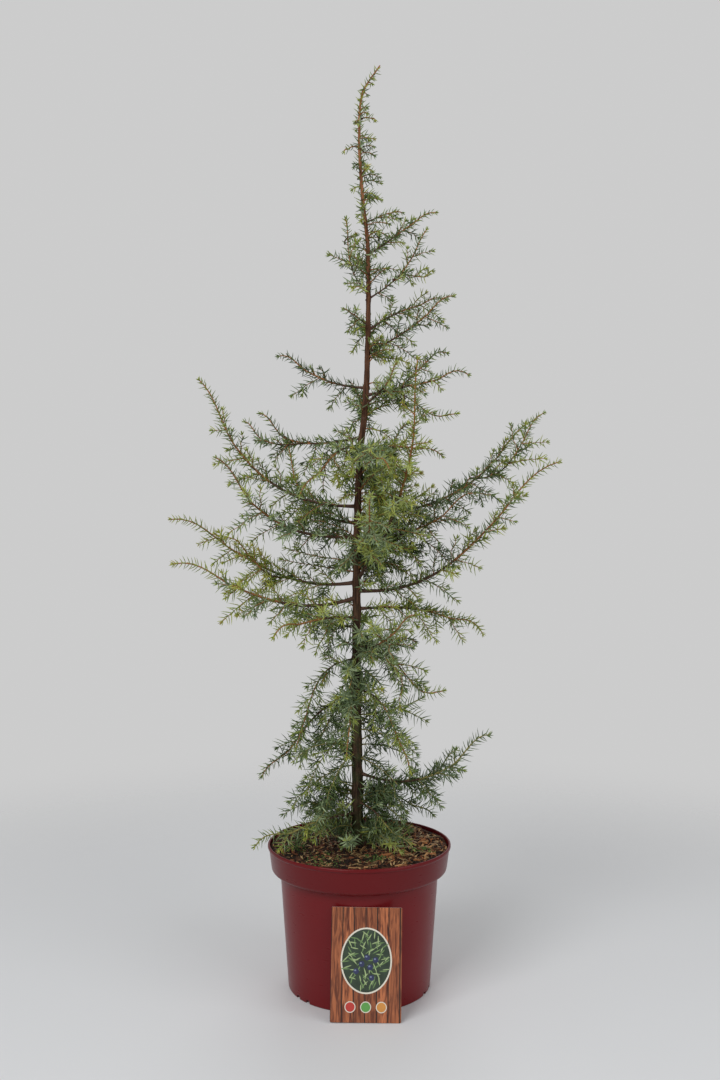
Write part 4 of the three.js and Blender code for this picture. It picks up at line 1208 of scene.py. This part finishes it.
def plank_finish():
    """Printed planks, satin: upright boards of uneven tone, with long grain and dark seams between them."""
    material, tree, shader = new_material("plank print", 0.5)
    where = add_node(tree, "ShaderNodeUVMap", uv_map="card").outputs["UV"]
    part = add_node(tree, "ShaderNodeSeparateXYZ", {0: where})
    boards = maths(tree, "MULTIPLY", part.outputs["X"], BOARDS_A_CARD_HEIGHT)
    number = maths(tree, "FLOOR", boards)
    shade = add_node(tree, "ShaderNodeTexWhiteNoise", {"W": number}, noise_dimensions="1D")
    shift = add_node(tree, "ShaderNodeCombineXYZ", {"Y": shade.outputs["Value"], "Z": number})
    moved = add_node(tree, "ShaderNodeVectorMath", {0: where, 1: shift.outputs[0]})
    long = add_node(tree, "ShaderNodeMapping", {"Vector": moved.outputs[0], "Scale": (1, 0.1, 1)})
    grain = noise(tree, long.outputs[0], 42.0, 7.0, 1.2)
    body = mix_color(tree, ranged(tree, grain, 0.38, 0.62), (0.100, 0.022, 0.010), (0.520, 0.170, 0.066))
    body = mix_color(tree, ranged(tree, shade.outputs["Value"], 0, 1, 0, 0.6), body, (0.160, 0.044, 0.018))
    edge = maths(tree, "ABSOLUTE", maths(tree, "SUBTRACT", maths(tree, "FRACT", boards), 0.5))
    body = mix_color(tree, ranged(tree, edge, 0.435, 0.475), body, (0.016, 0.008, 0.006))
    give_color(tree, shader, body, 40.0, 0.06)
    give_grain(tree, shader, 300.0, (1, 1, 1), 0.34, 0.08, 0.03)
    return material


def build_card():
    """The card: a thin sheet with small round corners, planks printed on its front, paper at its edges."""
    turn = np.linspace(0, np.pi / 2, 6)
    right, low, high = CARD_WIDTH / 2 - CARD_CORNER, CARD_CORNER, CARD_HEIGHT - CARD_CORNER
    outline = np.concatenate([
        np.column_stack([x + CARD_CORNER * np.cos(turn + start), z + CARD_CORNER * np.sin(turn + start)])
        for x, z, start in ((right, high, 0), (-right, high, np.pi / 2), (-right, low, np.pi),
                            (right, low, 1.5 * np.pi))
    ])
    points, blocks = slab(outline, -CARD_THICKNESS, 0.0, 0, 1)
    paper = plain_finish("paper", (0.62, 0.58, 0.52), 0.6, 60, 0.05, 0.03, 0.4)
    piece = make_piece("card_sheet", points, blocks, [plank_finish(), paper], "card", ["card"], smooth=False)
    flat = np.concatenate([outline, outline, [[0, CARD_HEIGHT / 2]] * 2])
    uv = (flat + [CARD_WIDTH / 2, 0]) / CARD_HEIGHT
    corners = np.concatenate([faces.ravel() for faces, _ in blocks])
    layer = piece.data.uv_layers.new(name="card")
    layer.data.foreach_set("uv", uv[corners].astype(np.float32).ravel())


# The inks: name, colour, roughness, and the scale and amount of uneven tone
INKS = [
    ("cream ink", (0.72, 0.68, 0.58), 0.35, 80, 0.03),
    ("dark green ink", (0.030, 0.050, 0.030), 0.35, 120, 0.30),
    ("leaf ink", (0.150, 0.245, 0.090), 0.35, 200, 0.15),
    ("pale leaf ink", (0.330, 0.430, 0.200), 0.35, 200, 0.15),
    ("berry ink", (0.030, 0.038, 0.095), 0.35, 200, 0.20),
    ("bloom ink", (0.200, 0.240, 0.360), 0.40, 200, 0.10),
    ("red ink", (0.480, 0.045, 0.035), 0.35, 80, 0.05),
    ("green ink", (0.110, 0.330, 0.075), 0.35, 80, 0.05),
    ("orange ink", (0.620, 0.270, 0.060), 0.35, 80, 0.05),
]
CREAM, DARK, LEAF, BERRY, BLOOM, DOTS = 0, 1, 2, 4, 5, 6


def build_print():
    """A plain generic design on the card: an oval panel with a sprig and round fruit, and three dots."""
    rng = np.random.default_rng(6)
    middle, leaves = 76, 90
    shapes = [(ellipse(0, middle, 33, 41), 0.10, CREAM), (ellipse(0, middle, 31, 39), 0.16, DARK)]
    for k in range(leaves):
        turn = k * GOLDEN
        out = 26 * np.sqrt((k + 0.5) / leaves)
        heading = np.degrees(turn) + rng.uniform(-70, 70)
        x, z = out * np.cos(turn), middle + out * 1.2 * np.sin(turn)
        shapes.append((leaf(x * 0.9, z, rng.uniform(8, 13), 1.5, heading), 0.17 + 0.001 * k, LEAF + k % 2))
    for x, z in ((-6, 72), (5, 68), (1, 80), (12, 77), (-13, 63), (7, 55)):
        shapes.append((ellipse(x, z, 3.7, 3.7, 24), 0.28, BERRY))
        shapes.append((ellipse(x - 1, z + 1.1, 1.3, 1.1, 16), 0.32, BLOOM))
    for k, x in enumerate((-20, 0, 20)):
        shapes.append((ellipse(x, 19, 7.0, 7.0, 32), 0.10, CREAM))
        shapes.append((ellipse(x, 19, 5.9, 5.9, 32), 0.16, DOTS + k))
    looks = [plain_finish(*ink, 0.02) for ink in INKS]
    parts = [slab(outline, 0.02, high, look, look) for outline, high, look in shapes]
    make_piece("card_print", *merged(parts), looks, "card", ["card"], smooth=False)


# Camera, floor and light

# The camera's place, and how far from the pot's middle the floor starts and ends its fade, in metres
CAMERA_AT = (0.001, -1.465, 0.616)
FLOOR_FADE = (0.45, 1.7)

# Each light's name, place, the height it aims at over the pot's middle, size and power, in metres and watts
LIGHTS = [
    ("key", (-1.4, -2.0, 2.2), 0.6, 1.6, 51), ("fill", (1.8, -1.4, 1.3), 0.5, 1.8, 19),
    ("back", (0.3, 2.2, 2.2), 0.7, 1.8, 13),
]


def set_stage():
    """A large pale floor that fades out, a pale surround, wide soft lights and the photo's camera."""
    mesh = bpy.data.meshes.new("floor")
    mesh.from_pydata([(-8, -8, 0), (8, -8, 0), (8, 8, 0), (-8, 8, 0)], [], [(0, 1, 2, 3)])
    floor = put_object("floor", mesh)
    material, tree, shader = new_material("pale floor", 0.3)
    give_color(tree, shader, (0.72, 0.73, 0.745), 1.5, 0.01)
    shader.inputs["Roughness"].default_value = 0.6
    away = add_node(tree, "ShaderNodeVectorMath", {0: object_place(tree)}, operation="LENGTH")
    fade = add_node(tree, "ShaderNodeMapRange", {
        0: away.outputs["Value"], 1: FLOOR_FADE[0], 2: FLOOR_FADE[1], 3: 1.0, 4: 0.0},
        interpolation_type="SMOOTHERSTEP")
    tree.links.new(fade.outputs[0], shader.inputs["Alpha"])
    mesh.materials.append(material)
    world = bpy.data.worlds.new("surround")
    world.use_nodes = True
    backdrop = world.node_tree.nodes["Background"]
    backdrop.inputs["Color"].default_value = (0.605, 0.605, 0.605, 1)
    seen = add_node(world.node_tree, "ShaderNodeLightPath").outputs["Is Camera Ray"]
    strength = add_node(world.node_tree, "ShaderNodeMapRange", {0: seen, 3: 0.60, 4: 1.0})
    world.node_tree.links.new(strength.outputs[0], backdrop.inputs["Strength"])
    bpy.context.scene.world = world
    for name, where, aim_height, size, power in LIGHTS:
        light = bpy.data.lights.new(name, "AREA")
        light.size = size
        light.energy = power
        lamp = put_object(name, light)
        x, y, z = np.array([0, 0, aim_height]) - where
        lamp.location = where
        lamp.rotation_euler = (np.arctan2(np.hypot(x, y), -z), 0, np.arctan2(-x, y))
    data = bpy.data.cameras.new("camera")
    data.lens = 35
    data.sensor_width = 36
    camera = put_object("camera", data)
    camera.location = CAMERA_AT
    camera.rotation_euler = (np.pi / 2, 0, 0)
    bpy.context.scene.camera = camera
    bpy.context.scene.view_settings.view_transform = "Standard"


set_stage()
build_pot()
build_soil()
build_chips()
build_moss()
build_litter()
build_card()
build_print()
build_trunk()
grow_foliage()
